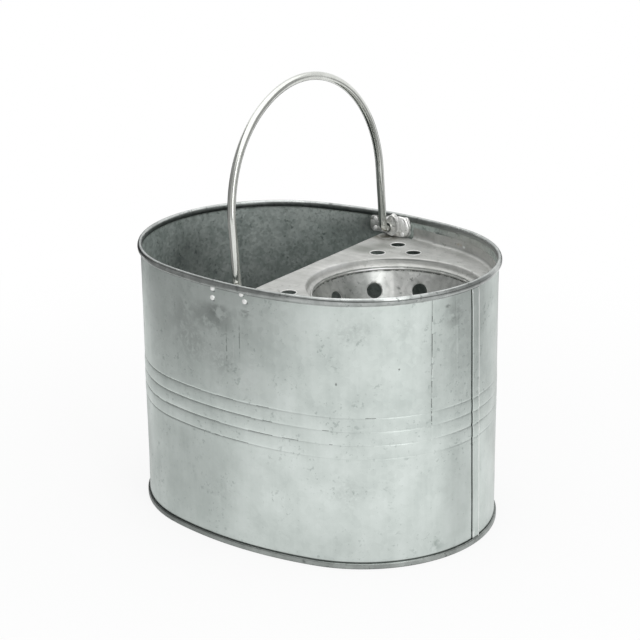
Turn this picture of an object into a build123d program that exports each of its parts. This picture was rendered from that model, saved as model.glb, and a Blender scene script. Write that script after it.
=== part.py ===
from build123d import *
import math
import os

# Oval mop bucket of galvanised sheet, with a wringer cone under a half-moon deck and a wire bail.
# Millimetres. +Z is up and +X points to the wringer end. The origin is on the floor, under the oval's middle.

# Sheet metal
SHEET = 0.8                    # thickness of every sheet
LAP_CLEARANCE = 0.05           # between sheets that are lapped, seamed or riveted together
THROUGH = 4                    # a cutter is this many times as long as the sheet it goes through

# Oval body, measured over the wall
BODY_LENGTH = 323.8
BODY_WIDTH = 241.8
SIDE_RADIUS = 313.2            # outside radius of the two long sides
BODY_HEIGHT = 235.5            # floor to top of rim

# Rolled rim
RIM_ROLL_DIAMETER = 4.8
RIM_ROLL_INSET = 0.9           # how far the roll stands inside the wall
RIM_ROLL_SLIT = 0.3            # between the roll's edge and the wall

# Swaged beads round the wall
SWAGE_COUNT = 3
SWAGE_PITCH = 11.9
SWAGE_PROUD = 0.8
SWAGE_BOTTOM = 98.3            # height of the lowest crease

# Lock seam at the wringer end
SEAM_WIDTH = 10.0
SEAM_PROUD = 1.5
SEAM_END_GAP = 0.6             # to the foot and to the rim

# Foot, where the base pan is folded round the wall's hooked edge
FOOT_HEIGHT = 5.0
FOOT_PROUD = 1.9
FOOT_CORNER = 1.1

# Rivets of the ears
RIVET_SHANK_DIAMETER = 2.6
RIVET_HEAD_DIAMETER = 4.2
RIVET_HEAD_HEIGHT = 1.6
RIVET_TAIL_HEIGHT = 1.0
RIVET_ROW_SPACING = 8.5
RIVET_COLUMN_SPACING = 32.0

# Pressed ears
EAR_FROM_EDGE = 9.0            # from the deck's straight edge to the middle of the ears
EAR_LENGTH = 43.0
EAR_HEIGHT = 15.0
EAR_RIM_GAP = 0.2              # from the ear to the rolled rim
EAR_THICKNESS = 1.5
EAR_CORNER = 4.0
BOSS_LENGTH = 21.5
BOSS_WIDTH = 17.4              # upwards, from the ear's lower edge
BOSS_HEIGHT = 7.8              # from the wall's inside to the boss's face
BOSS_TAPER = 12.0              # degrees
BOSS_ROUNDING = 4.0

# Bail
BAIL_DIAMETER = 7.0
BAIL_LEG_GAP = 5.8             # from a boss's face to the middle of the leg
BAIL_LEG = 56.2                # straight part of a leg, above the pivot
BAIL_SHOULDER_RADIUS = 99.0    # middle line of the two shoulders, which a flatter crown joins
BAIL_SHOULDER_SWEEP = 57.0     # degrees that each shoulder turns
BAIL_BEND = 6.0                # middle-line radius where the end turns outwards
BAIL_REACH = 4.5               # how far an end passes through the boss's face
BAIL_CLEARANCE = 0.5           # round an end in its hole
BAIL_TIP_ROUNDING = 0.8
BAIL_LEAN = 4.0                # degrees, at rest, towards the open end

# Wringer deck
EAR_DECK_GAP = 0.3
DECK_STRIP = 17.1              # flat strip between the mouth's lip and the straight edge
DECK_EDGE_FOLD = 10.0
DECK_FLANGE_HEIGHT = 10.0
DECK_FLANGE_GAP = 3.0          # from an ear's end to the start of the flange
DECK_FOLD_RADIUS = 1.5
DECK_TIP_FLAT = 3.0            # between the flange's fold and the mouth's lip at the wringer end

# Dished mouth of the deck
MOUTH_RADIUS = 69.5
LIP_ROUND = 6.0
LIP_SKIRT = 3.3

# Drain holes of the deck: a group of three on each side
DRAIN_DIAMETER = 13.0
DRAIN_ANGLE = 123.4            # direction of a group, seen from the mouth's centre
DRAIN_SPREAD = 10.0            # degrees to each side of that direction, for the near pair
DRAIN_FROM_LIP = 15.0          # near pair, from the lip's outer edge
DRAIN_FROM_WALL = 29.9         # far hole, from the wall

# Wringer cone
CONE_DEPTH = 87.5
CONE_BOTTOM_RADIUS = 34.0
CONE_FLARE = 50.0              # degrees that the top edge is flared under the lip
CONE_HOLE_DIAMETER = 14.0
CONE_HOLE_ROWS = 3
CONE_HOLES_PER_ROW = 10
FIRST_ROW_DROP = 16.4
LAST_ROW_RISE = 17.5
CONE_SEAM_ANGLE = 122.0        # degrees, half way between two holes
CONE_SEAM_WIDTH = 8.0
CAP_RIM = 6.0                  # height of the bottom cap's rim
CAP_HOLES = 6

# Worked out from the sizes above: the oval and the rim
HALF_LENGTH = BODY_LENGTH / 2
HALF_WIDTH = BODY_WIDTH / 2
OVAL_EXCESS = 2 * SIDE_RADIUS * HALF_WIDTH - HALF_LENGTH**2 - HALF_WIDTH**2
END_RADIUS = OVAL_EXCESS / (2 * (SIDE_RADIUS - HALF_LENGTH))
END_CENTRE = HALF_LENGTH - END_RADIUS
SIDE_CENTRE = SIDE_RADIUS - HALF_WIDTH
END_HALF_ANGLE = math.degrees(math.atan2(SIDE_CENTRE, END_CENTRE))
END_SWEEP = 2 * END_HALF_ANGLE
SIDE_SWEEP = 180 - END_SWEEP
LINED = -SHEET - LAP_CLEARANCE                 # offset of a face that lies against the wall's inside
ROLL_RADIUS = RIM_ROLL_DIAMETER / 2
ROLL_CENTRE_Z = BODY_HEIGHT - ROLL_RADIUS
ROLL_CENTRE_OFFSET = ROLL_RADIUS - SHEET - RIM_ROLL_INSET

# Heights of the ears, the deck and the cone
EAR_Z = BODY_HEIGHT - RIM_ROLL_DIAMETER - EAR_RIM_GAP - EAR_HEIGHT / 2
DECK_Z = EAR_Z - EAR_HEIGHT / 2 - EAR_DECK_GAP
LIP_CENTRE_Z = DECK_Z - LIP_ROUND
LIP_EDGE_Z = LIP_CENTRE_Z - LIP_SKIRT
CONE_BOTTOM_Z = LIP_EDGE_Z - CONE_DEPTH

# Places along the bucket, from the wringer end
LIP_RADIUS = MOUTH_RADIUS + LIP_ROUND
CONE_X = HALF_LENGTH + LINED - SHEET - DECK_FOLD_RADIUS - DECK_TIP_FLAT - LIP_RADIUS
DECK_EDGE_X = CONE_X - LIP_RADIUS - DECK_STRIP
EAR_X = DECK_EDGE_X + EAR_FROM_EDGE
DECK_FLANGE_X = EAR_X + EAR_LENGTH / 2 + DECK_FLANGE_GAP

# Places across the bucket, from the wall at the ears
EAR_WALL_Y = math.sqrt(SIDE_RADIUS**2 - EAR_X**2) - SIDE_CENTRE
EAR_SEAT_Y = EAR_WALL_Y + LINED
BOSS_FACE_Y = EAR_SEAT_Y - BOSS_HEIGHT
BAIL_HALF_WIDTH = BOSS_FACE_Y - BAIL_LEG_GAP

# Crown of the bail, which takes over from the shoulders where they end
SHOULDER_CENTRE = BAIL_HALF_WIDTH - BAIL_SHOULDER_RADIUS
SHOULDER_TURN = math.radians(BAIL_SHOULDER_SWEEP)
CROWN_RADIUS = BAIL_SHOULDER_RADIUS + SHOULDER_CENTRE / math.cos(SHOULDER_TURN)
CROWN_CENTRE = BAIL_LEG - SHOULDER_CENTRE * math.tan(SHOULDER_TURN)
CROWN_END = 180 - BAIL_SHOULDER_SWEEP
CROWN_SWEEP = CROWN_END - BAIL_SHOULDER_SWEEP

# Slope of the cone
CONE_TOP_RADIUS = MOUTH_RADIUS + SHEET + LAP_CLEARANCE
CONE_SLOPE = (CONE_TOP_RADIUS - CONE_BOTTOM_RADIUS) / CONE_DEPTH
CONE_HALF_ANGLE = math.degrees(math.atan(CONE_SLOPE))

# The four arcs of the oval: centre, radius, start angle and sweep, anticlockwise from the wringer end
OVAL_ARCS = [
    ((END_CENTRE, 0), END_RADIUS, -END_HALF_ANGLE, END_SWEEP),
    ((0, -SIDE_CENTRE), SIDE_RADIUS, END_HALF_ANGLE, SIDE_SWEEP),
    ((-END_CENTRE, 0), END_RADIUS, 180 - END_HALF_ANGLE, END_SWEEP),
    ((0, SIDE_CENTRE), SIDE_RADIUS, 180 + END_HALF_ANGLE, SIDE_SWEEP),
]
WRINGER_END_ARC, BACK_SIDE_ARC = OVAL_ARCS[:2]


def rectangle(left, bottom, right, top):
    """Rectangle between two corners."""
    return Pos((left + right) / 2, (bottom + top) / 2) * Rectangle(right - left, top - bottom)


def oval_face(offset):
    """Flat oval that lies this far outside the wall's outer face, or inside it where negative."""
    edges = [CenterArc(centre, radius + offset, start, sweep) for centre, radius, start, sweep in OVAL_ARCS]
    return make_face(edges)


def oval_slab(offset, bottom, top):
    """Upright oval block between two heights."""
    return Pos(0, 0, bottom) * extrude(oval_face(offset), top - bottom)


def turned_on_arc(section, arc, start, sweep):
    """Section, drawn as offset from the wall and height, turned about the axis of one arc of the oval."""
    (centre_x, centre_y), radius = arc[:2]
    across = (math.cos(math.radians(start)), math.sin(math.radians(start)), 0)
    square = (across[1], -across[0], 0)
    upright = Plane(origin=(centre_x, centre_y, 0), x_dir=across, z_dir=square)
    return revolve(upright * Pos(radius, 0) * section, Axis((centre_x, centre_y, 0), (0, 0, 1)), sweep)


def oval_ring(section):
    """Section carried once round the oval."""
    quarters = [turned_on_arc(section, arc, arc[2], arc[3]) for arc in OVAL_ARCS]
    return quarters[0] + quarters[1:]


def wall_section(inner, outer, bottom, top):
    """Section of the wall between two offsets and two heights, with the swages pressed outwards."""
    creases = [SWAGE_BOTTOM + index * SWAGE_PITCH for index in range(SWAGE_COUNT + 1)]
    edges = [Line((inner, bottom), (outer, bottom)), Line((inner, top), (outer, top))]
    for offset in (inner, outer):
        edges.append(Line((offset, bottom), (offset, creases[0])))
        edges.append(Line((offset, creases[-1]), (offset, top)))
        for low, high in zip(creases, creases[1:]):
            crown = (offset + SWAGE_PROUD, (low + high) / 2)
            edges.append(ThreePointArc((offset, low), crown, (offset, high)))
    return make_face(edges)


def on_back_wall(x, z):
    """Place on the outside of the far wall, with its X axis along the wall's outward normal."""
    angle = math.degrees(math.acos(x / SIDE_RADIUS))
    return Pos(0, -SIDE_CENTRE, z) * Rot(0, 0, angle) * Pos(SIDE_RADIUS, 0, 0)


def rivet_places():
    """The four rivet places of the far ear."""
    columns = (EAR_X - RIVET_COLUMN_SPACING / 2, EAR_X + RIVET_COLUMN_SPACING / 2)
    rows = (EAR_Z - RIVET_ROW_SPACING / 2, EAR_Z + RIVET_ROW_SPACING / 2)
    return [on_back_wall(x, z) for x in columns for z in rows]


def rivet_holes():
    """Cutters for the far ear's rivet holes."""
    radius = RIVET_SHANK_DIAMETER / 2 + LAP_CLEARANCE
    drill = Rot(0, 90, 0) * Cylinder(radius, THROUGH * (SHEET + EAR_THICKNESS))
    return [place * drill for place in rivet_places()]


def mirrored(shape):
    """The same thing on the near side."""
    return shape.mirror(Plane.XZ)


def make_body_wall():
    """Wall with swages, lock seam, rolled rim and the hooked edge that the base pan grips."""
    hook_bottom = SHEET + LAP_CLEARANCE
    hook_edge = FOOT_PROUD - SHEET - LAP_CLEARANCE
    roll_centre = Pos(ROLL_CENTRE_OFFSET, ROLL_CENTRE_Z)
    roll = roll_centre * Circle(ROLL_RADIUS)
    roll -= rectangle(0, ROLL_CENTRE_Z - ROLL_RADIUS, RIM_ROLL_SLIT, ROLL_CENTRE_Z)
    section = wall_section(-SHEET, 0, hook_bottom, ROLL_CENTRE_Z) + roll
    section -= roll_centre * Circle(ROLL_RADIUS - SHEET)
    section += rectangle(-SHEET, hook_bottom, hook_edge, hook_bottom + SHEET)
    section += rectangle(hook_edge - SHEET, hook_bottom, hook_edge, FOOT_HEIGHT - hook_bottom)

    seam_bottom = FOOT_HEIGHT + SEAM_END_GAP
    seam_top = BODY_HEIGHT - RIM_ROLL_DIAMETER - SEAM_END_GAP
    seam_section = wall_section(-SHEET / 2, SEAM_PROUD, seam_bottom, seam_top)
    seam_sweep = math.degrees(SEAM_WIDTH / END_RADIUS)
    seam = turned_on_arc(seam_section, WRINGER_END_ARC, -seam_sweep / 2, seam_sweep)

    holes = rivet_holes()
    return oval_ring(section) + seam - holes - [mirrored(hole) for hole in holes]


def make_rim_wire():
    """Wire that the rim is rolled round."""
    return oval_ring(Pos(ROLL_CENTRE_OFFSET, ROLL_CENTRE_Z) * Circle(ROLL_RADIUS - SHEET - LAP_CLEARANCE))


def make_base_pan():
    """Floor, with its edge folded under, round and over the wall's hooked edge."""
    inner = LINED - SHEET
    middle = FOOT_HEIGHT / 2
    fold = RectangleRounded(FOOT_PROUD - inner, FOOT_HEIGHT, FOOT_CORNER)
    fold = Pos((inner + FOOT_PROUD) / 2, middle) * fold
    fold -= rectangle(LINED, SHEET, FOOT_PROUD - SHEET, FOOT_HEIGHT - SHEET)
    fold -= rectangle(LINED, SHEET, LAP_CLEARANCE, FOOT_HEIGHT)
    fold += rectangle(inner, middle, LINED, FOOT_HEIGHT)
    floor = oval_slab(inner + SHEET / 2, FOOT_HEIGHT - SHEET, FOOT_HEIGHT)
    return oval_ring(fold) + floor


def drain_cutters():
    """Drills for the deck's two groups of drain holes."""
    direction = math.radians(DRAIN_ANGLE)
    run_x, run_y = math.cos(direction), math.sin(direction)
    # distance from the mouth's centre to the far wall along the group's direction
    to_centre = CONE_X * run_x + SIDE_CENTRE * run_y
    beyond = CONE_X**2 + SIDE_CENTRE**2 - (SIDE_RADIUS - SHEET)**2
    to_wall = math.sqrt(to_centre**2 - beyond) - to_centre
    near = LIP_RADIUS + DRAIN_FROM_LIP
    spots = [
        (near, DRAIN_ANGLE - DRAIN_SPREAD),
        (near, DRAIN_ANGLE + DRAIN_SPREAD),
        (to_wall - DRAIN_FROM_WALL, DRAIN_ANGLE),
    ]
    drill = Cylinder(DRAIN_DIAMETER / 2, THROUGH * SHEET)
    sides = (1, -1)
    return [
        Pos(CONE_X, 0, DECK_Z) * Rot(0, 0, side * angle) * Pos(distance, 0, 0) * drill
        for distance, angle in spots for side in sides
    ]


def make_wringer_deck():
    """Half-moon deck: flat plate, flange up the wall, folded straight edge, dished mouth and drain holes."""
    edge_plane = Plane(origin=(DECK_EDGE_X, 0, 0), z_dir=(1, 0, 0))
    plate = split(oval_slab(LINED, DECK_Z - SHEET, DECK_Z), edge_plane, keep=Keep.TOP)
    plate -= Pos(CONE_X, 0, DECK_Z) * Cylinder(LIP_RADIUS, THROUGH * SHEET)

    inner = LINED - SHEET
    flange_section = rectangle(inner, DECK_Z - SHEET, LINED, DECK_Z + DECK_FLANGE_HEIGHT)
    flange_section += rectangle(inner - DECK_FOLD_RADIUS, DECK_Z - SHEET, inner, DECK_Z + DECK_FOLD_RADIUS)
    flange_section -= Pos(inner - DECK_FOLD_RADIUS, DECK_Z + DECK_FOLD_RADIUS) * Circle(DECK_FOLD_RADIUS)
    flange_plane = Plane(origin=(DECK_FLANGE_X, 0, 0), z_dir=(1, 0, 0))
    flange = split(oval_ring(flange_section), flange_plane, keep=Keep.TOP)

    fold_slab = oval_slab(LINED, DECK_Z - DECK_EDGE_FOLD, DECK_Z)
    fold = split(fold_slab, edge_plane, keep=Keep.TOP)
    fold = split(fold, edge_plane.offset(SHEET), keep=Keep.BOTTOM)

    # the lip's section is drawn as radius from the mouth's axis and height
    lip_section = Pos(LIP_RADIUS, LIP_CENTRE_Z) * (Circle(LIP_ROUND) - Circle(LIP_ROUND - SHEET))
    lip_section &= rectangle(MOUTH_RADIUS, LIP_CENTRE_Z, LIP_RADIUS, DECK_Z)
    lip_section += rectangle(MOUTH_RADIUS, LIP_EDGE_Z, MOUTH_RADIUS + SHEET, LIP_CENTRE_Z)
    lip = Pos(CONE_X, 0, 0) * revolve(Plane.XZ * lip_section, Axis.Z)
    return plate + flange + fold + lip - drain_cutters()


def cone_radius(height):
    """Inside radius of the cone at a height."""
    return CONE_BOTTOM_RADIUS + (height - CONE_BOTTOM_Z) * CONE_SLOPE


def cone_hole_cutters():
    """Drills for the rows of holes, each square to the cone's wall."""
    first = LIP_EDGE_Z - FIRST_ROW_DROP
    last = CONE_BOTTOM_Z + LAST_ROW_RISE
    step = (last - first) / (CONE_HOLE_ROWS - 1)
    pitch = 360 / CONE_HOLES_PER_ROW
    drill = Rot(0, 90 + CONE_HALF_ANGLE, 0) * Cylinder(CONE_HOLE_DIAMETER / 2, THROUGH * SHEET)
    cutters = []
    for row in range(CONE_HOLE_ROWS):
        height = first + row * step
        for index in range(CONE_HOLES_PER_ROW):
            angle = CONE_SEAM_ANGLE + pitch / 2 + index * pitch
            cutters.append(Rot(0, 0, angle) * Pos(cone_radius(height), 0, height) * drill)
    return cutters


def make_wringer_cone():
    """Perforated cone with a lap seam, its top edge flared under the deck's lip."""
    collar_outside = CONE_TOP_RADIUS + SHEET
    flare_outside = LIP_ROUND - SHEET - LAP_CLEARANCE
    flare = Circle(flare_outside) - Circle(flare_outside - SHEET)
    reach = 2 * LIP_ROUND
    flare &= rectangle(-reach, 0, 0, reach)
    flare -= Rot(0, 0, -CONE_FLARE) * rectangle(-reach, 0, reach, reach)
    section = Pos(LIP_RADIUS, LIP_CENTRE_Z) * flare
    section += rectangle(CONE_TOP_RADIUS, LIP_EDGE_Z, collar_outside, LIP_CENTRE_Z)
    section += make_face(Polyline(
        (CONE_TOP_RADIUS, LIP_EDGE_Z),
        (CONE_BOTTOM_RADIUS, CONE_BOTTOM_Z),
        (CONE_BOTTOM_RADIUS + SHEET, CONE_BOTTOM_Z),
        (collar_outside, LIP_EDGE_Z),
        close=True,
    ))
    cone = revolve(Plane.XZ * section, Axis.Z)

    seam_bottom = CONE_BOTTOM_Z + CAP_RIM + SHEET
    seam_length = (LIP_EDGE_Z - seam_bottom) / math.cos(math.radians(CONE_HALF_ANGLE))
    seam_middle = (LIP_EDGE_Z + seam_bottom) / 2
    strip = Pos(SHEET, 0, 0) * Box(2 * SHEET, CONE_SEAM_WIDTH, seam_length - 2 * SHEET)
    tilted = Pos(cone_radius(seam_middle), 0, seam_middle) * Rot(0, CONE_HALF_ANGLE, 0) * strip
    bore = make_face(Polyline(
        (0, LIP_EDGE_Z),
        (0, CONE_BOTTOM_Z),
        (CONE_BOTTOM_RADIUS, CONE_BOTTOM_Z),
        (CONE_TOP_RADIUS, LIP_EDGE_Z),
        close=True,
    ))
    cone += Rot(0, 0, CONE_SEAM_ANGLE) * tilted - revolve(Plane.XZ * bore, Axis.Z)
    return Pos(CONE_X, 0, 0) * (cone - cone_hole_cutters())


def make_cone_bottom():
    """Perforated cap pushed over the cone's lower edge."""
    inner_bottom = CONE_BOTTOM_RADIUS + SHEET + LAP_CLEARANCE
    inner_top = inner_bottom + CAP_RIM * CONE_SLOPE
    top = CONE_BOTTOM_Z - LAP_CLEARANCE
    section = rectangle(0, top - SHEET, inner_bottom + SHEET, top)
    section += make_face(Polyline(
        (inner_bottom, top),
        (inner_top, top + CAP_RIM),
        (inner_top + SHEET, top + CAP_RIM),
        (inner_bottom + SHEET, top),
        close=True,
    ))
    cap = revolve(Plane.XZ * section, Axis.Z)
    drill = Cylinder(CONE_HOLE_DIAMETER / 2, THROUGH * SHEET)
    circle = (CONE_HOLE_DIAMETER / 2 + CONE_BOTTOM_RADIUS) / 2
    holes = [Pos(0, 0, top) * drill]
    holes += [Rot(0, 0, index * 360 / CAP_HOLES) * Pos(circle, 0, top) * drill for index in range(CAP_HOLES)]
    return Pos(CONE_X, 0, 0) * (cap - holes)


def make_back_ear():
    """Pressed ear: a plate bent to the wall, with a hollow boss that the bail's end passes into."""
    inner = LINED - EAR_THICKNESS
    half_height = EAR_HEIGHT / 2
    band = rectangle(inner, EAR_Z - half_height, LINED, EAR_Z + half_height)
    plate = turned_on_arc(band, BACK_SIDE_ARC, BACK_SIDE_ARC[2], BACK_SIDE_ARC[3])
    inwards = Plane(origin=(EAR_X, EAR_SEAT_Y, EAR_Z), x_dir=(1, 0, 0), z_dir=(0, -1, 0))
    outline = inwards.offset(-EAR_LENGTH) * RectangleRounded(EAR_LENGTH, EAR_HEIGHT, EAR_CORNER)
    plate &= extrude(outline, 2 * EAR_LENGTH)

    # the bore lies in the boss's rounded end
    middle = Pos((BOSS_LENGTH - BOSS_WIDTH) / 2, (BOSS_WIDTH - EAR_HEIGHT) / 2)
    base = EAR_THICKNESS / 2
    boss = extrude(SlotOverall(BOSS_LENGTH, BOSS_WIDTH), BOSS_HEIGHT - base, taper=BOSS_TAPER)
    boss = fillet(boss.faces().sort_by(Axis.Z)[-1].edges(), BOSS_ROUNDING)
    hollow = SlotOverall(BOSS_LENGTH - 2 * EAR_THICKNESS, BOSS_WIDTH - 2 * EAR_THICKNESS)
    hollow = extrude(hollow, BOSS_HEIGHT - EAR_THICKNESS, taper=BOSS_TAPER)
    hollow = fillet(hollow.faces().sort_by(Axis.Z)[-1].edges(), BOSS_ROUNDING - EAR_THICKNESS)
    ear = plate + inwards.offset(base) * middle * boss
    ear -= inwards * middle * hollow
    bore = Cylinder(BAIL_DIAMETER / 2 + BAIL_CLEARANCE, THROUGH * EAR_THICKNESS)
    ear -= inwards * Pos(0, 0, BOSS_HEIGHT) * bore
    room = Pos(ROLL_CENTRE_OFFSET, ROLL_CENTRE_Z) * Circle(ROLL_RADIUS + EAR_RIM_GAP)
    ear -= turned_on_arc(room, BACK_SIDE_ARC, BACK_SIDE_ARC[2], BACK_SIDE_ARC[3])
    return ear - rivet_holes()


def make_rivets():
    """The far ear's four rivets, domed outside the wall and flattened on the ear."""
    shank = RIVET_SHANK_DIAMETER / 2
    head = RIVET_HEAD_DIAMETER / 2
    grip = LINED - EAR_THICKNESS - LAP_CLEARANCE
    tail = grip - RIVET_TAIL_HEIGHT
    crown = LAP_CLEARANCE + RIVET_HEAD_HEIGHT
    dome_radius = (head**2 + RIVET_HEAD_HEIGHT**2) / (2 * RIVET_HEAD_HEIGHT)
    half = Pos(crown - dome_radius, 0) * Circle(dome_radius)
    half &= rectangle(LAP_CLEARANCE, 0, crown, head)
    half += rectangle(grip, 0, LAP_CLEARANCE, shank)
    half += make_face(Polyline((grip, 0), (grip, head), (tail, shank), (tail, 0), close=True))
    rivet = revolve(half, Axis.X)
    return [place * rivet for place in rivet_places()]


def make_bail():
    """Wire bail: two shoulders and a crown on straight legs, with both ends bent outwards into the ears."""
    bend_centre = BAIL_HALF_WIDTH + BAIL_BEND
    tip = BOSS_FACE_Y + BAIL_REACH
    path = Wire([
        Line((tip, 0), (bend_centre, 0)),
        CenterArc((bend_centre, BAIL_BEND), BAIL_BEND, 270, -90),
        Line((BAIL_HALF_WIDTH, BAIL_BEND), (BAIL_HALF_WIDTH, BAIL_LEG)),
        CenterArc((SHOULDER_CENTRE, BAIL_LEG), BAIL_SHOULDER_RADIUS, 0, BAIL_SHOULDER_SWEEP),
        CenterArc((0, CROWN_CENTRE), CROWN_RADIUS, BAIL_SHOULDER_SWEEP, CROWN_SWEEP),
        CenterArc((-SHOULDER_CENTRE, BAIL_LEG), BAIL_SHOULDER_RADIUS, CROWN_END, BAIL_SHOULDER_SWEEP),
        Line((-BAIL_HALF_WIDTH, BAIL_LEG), (-BAIL_HALF_WIDTH, BAIL_BEND)),
        CenterArc((-bend_centre, BAIL_BEND), BAIL_BEND, 0, -90),
        Line((-bend_centre, 0), (-tip, 0)),
    ])
    start = Plane(origin=(tip, 0, 0), z_dir=(-1, 0, 0))
    wire = sweep(start * Circle(BAIL_DIAMETER / 2), path=path)
    tips = wire.faces().sort_by(Axis.X)
    wire = fillet(tips[0].edges() + tips[-1].edges(), BAIL_TIP_ROUNDING)
    upright = Plane(origin=(EAR_X, 0, EAR_Z), x_dir=(0, 1, 0), z_dir=(1, 0, 0))
    return (upright * wire).rotate(Axis((EAR_X, 0, EAR_Z), (0, 1, 0)), -BAIL_LEAN)


def make_parts():
    """Every piece under its own name."""
    back_ear = make_back_ear()
    rivets = make_rivets()
    return {
        "body_wall": make_body_wall(),
        "rim_wire": make_rim_wire(),
        "base_pan": make_base_pan(),
        "wringer_deck": make_wringer_deck(),
        "wringer_cone": make_wringer_cone(),
        "cone_bottom": make_cone_bottom(),
        "back_ear": back_ear,
        "front_ear": mirrored(back_ear),
        "back_ear_rivets": Compound(rivets),
        "front_ear_rivets": Compound([mirrored(rivet) for rivet in rivets]),
        "bail": make_bail(),
    }


os.makedirs("parts", exist_ok=True)
for name, shape in make_parts().items():
    export_step(shape, f"parts/{name}.step")
    print(name, "solids", len(shape.solids()), "volume", round(shape.volume, 1))
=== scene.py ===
"""Looks of a galvanised oval mop bucket with a wringer cone and a wire bail.

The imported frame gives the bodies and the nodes. Each class builds one sub-assembly of the bucket in detail,
dresses it and sets it in the place of its nodes. Lengths are metres, written as millimetres times MM.
"""
from __future__ import annotations

import logging
import math
from dataclasses import dataclass, field
from enum import Enum
from typing import Iterable, Sequence

import bmesh
import bpy
from mathutils import Matrix, Vector, noise

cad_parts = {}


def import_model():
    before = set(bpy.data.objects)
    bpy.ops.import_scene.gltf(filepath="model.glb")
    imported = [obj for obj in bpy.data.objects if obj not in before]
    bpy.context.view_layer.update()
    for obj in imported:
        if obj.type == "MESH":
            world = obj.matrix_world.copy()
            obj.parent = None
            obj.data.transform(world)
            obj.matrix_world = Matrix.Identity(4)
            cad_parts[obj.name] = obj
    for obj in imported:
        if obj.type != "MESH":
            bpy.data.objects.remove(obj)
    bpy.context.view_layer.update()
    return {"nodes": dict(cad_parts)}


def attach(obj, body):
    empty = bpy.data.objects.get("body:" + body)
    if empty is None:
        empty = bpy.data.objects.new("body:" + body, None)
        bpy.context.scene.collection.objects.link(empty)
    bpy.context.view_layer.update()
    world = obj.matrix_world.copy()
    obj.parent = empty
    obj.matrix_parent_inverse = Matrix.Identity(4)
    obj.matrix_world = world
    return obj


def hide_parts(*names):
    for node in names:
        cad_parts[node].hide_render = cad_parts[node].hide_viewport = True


LOG = logging.getLogger("mop_bucket")
MM = 0.001
WELD = 0.002 * MM
UP = Vector((0.0, 0.0, 1.0))
ANGLE_SLACK = 1e-4
HOLE_SIDES = 44
BURR_SIDES = 8
BEVEL_STEPS = 2
BEVEL_WIDTH = 0.3 * MM
BEVEL_ANGLE = math.radians(50)
WORN_NUMBER = 1

Colour = tuple[float, float, float]
Place = tuple[float, float, float]
Span = tuple[float, float]
Section = list[Span]
Item = bpy.types.Object
Socket = bpy.types.NodeSocket
Mesh = bmesh.types.BMesh
Vert = bmesh.types.BMVert
Edge = bmesh.types.BMEdge
Face = bmesh.types.BMFace
Geometry = list[Vert | Edge]


class Body(Enum):
    """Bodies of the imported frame."""

    BUCKET = "bucket"
    BAIL = "bail"


class Slot(Enum):
    """Material slots of the record."""

    SHEET = "galvanised_sheet"
    WIRE = "steel_wire"
    EAR = "pressed_ear"
    RIVET = "rivet"


class Side(Enum):
    """The two long sides of the bucket, as the sign of Y."""

    FAR = 1.0
    NEAR = -1.0


class Zone(Enum):
    """Zones of the body sheet, as the numbers of their finishes."""

    OUTSIDE = 0
    INSIDE = 1
    SEAM = 2
    RIM = 3
    RIDGE = 4
    RIM_INSIDE = 5
    CREASE = 6


def srgb(red: int, green: int, blue: int) -> Colour:
    """Scene colour of a colour as it is read off a screen.

    Args:
        red: 0 to 255.
        green: 0 to 255.
        blue: 0 to 255.

    Returns:
        The linear colour.
    """
    return tuple(((level / 255.0 + 0.055) / 1.055) ** 2.4 for level in (red, green, blue))


def smooth_step(low: float, high: float, value: float) -> float:
    """Soft step from 0 at low to 1 at high."""
    share = min(1.0, max(0.0, (value - low) / (high - low)))
    return share * share * (3.0 - 2.0 * share)


def bell(distance: float, reach: float) -> float:
    """Soft bump of height 1 that has died away at about twice its reach."""
    return math.exp(-((distance / reach) ** 2))


def ripple(place: Vector, length: float, seed: float) -> float:
    """Smooth noise between about -1 and 1.

    Args:
        place: Where it is read.
        length: Distance from one wave to the next.
        seed: Which noise it is.

    Returns:
        The noise at that place.
    """
    return noise.noise(place / length + Vector((seed, 2.0 * seed, -seed)))


def direction(angle: float) -> Vector:
    """Level direction at an angle from X."""
    return Vector((math.cos(angle), math.sin(angle), 0.0))


def quarter(radius: float, steps: int) -> Section:
    """Points of a quarter round after its first one, as ways along and across."""
    angles = [math.pi / 2 * step / steps for step in range(1, steps + 1)]
    return [(radius * math.sin(angle), radius * (1.0 - math.cos(angle))) for angle in angles]


def verts_of(geometry: Geometry) -> list[Vert]:
    """The vertices among vertices and edges."""
    return [item for item in geometry if isinstance(item, Vert)]


def edges_of(geometry: Geometry) -> list[Edge]:
    """The edges among vertices and edges."""
    return [item for item in geometry if isinstance(item, Edge)]


def chain(bm: Mesh, points: Iterable[Vector], closed: bool = False) -> Geometry:
    """Draw a line of edges through points.

    Args:
        bm: The mesh that is drawn in.
        points: The points, in order.
        closed: Whether the last point is joined to the first.

    Returns:
        The new vertices and edges.
    """
    verts = [bm.verts.new(point) for point in points]
    edges = [bm.edges.new(pair) for pair in zip(verts, verts[1:])]
    if closed:
        edges.append(bm.edges.new((verts[-1], verts[0])))
    return verts + edges


def turn(bm: Mesh, geometry: Geometry, centre: Vector, axis: Vector, angle: float, steps: int) -> Geometry:
    """Spin a line about an axis and hand back its last copy.

    Args:
        bm: The mesh that holds the line.
        geometry: Vertices and edges of the line.
        centre: A point on the axis.
        axis: Direction of the axis.
        angle: Radians that it turns.
        steps: Number of copies.

    Returns:
        Vertices and edges of the last copy.
    """
    spun = bmesh.ops.spin(
        bm, geom=geometry, cent=centre, axis=axis, angle=angle, steps=steps, use_merge=angle == 2 * math.pi,
    )
    return spun["geom_last"]


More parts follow.
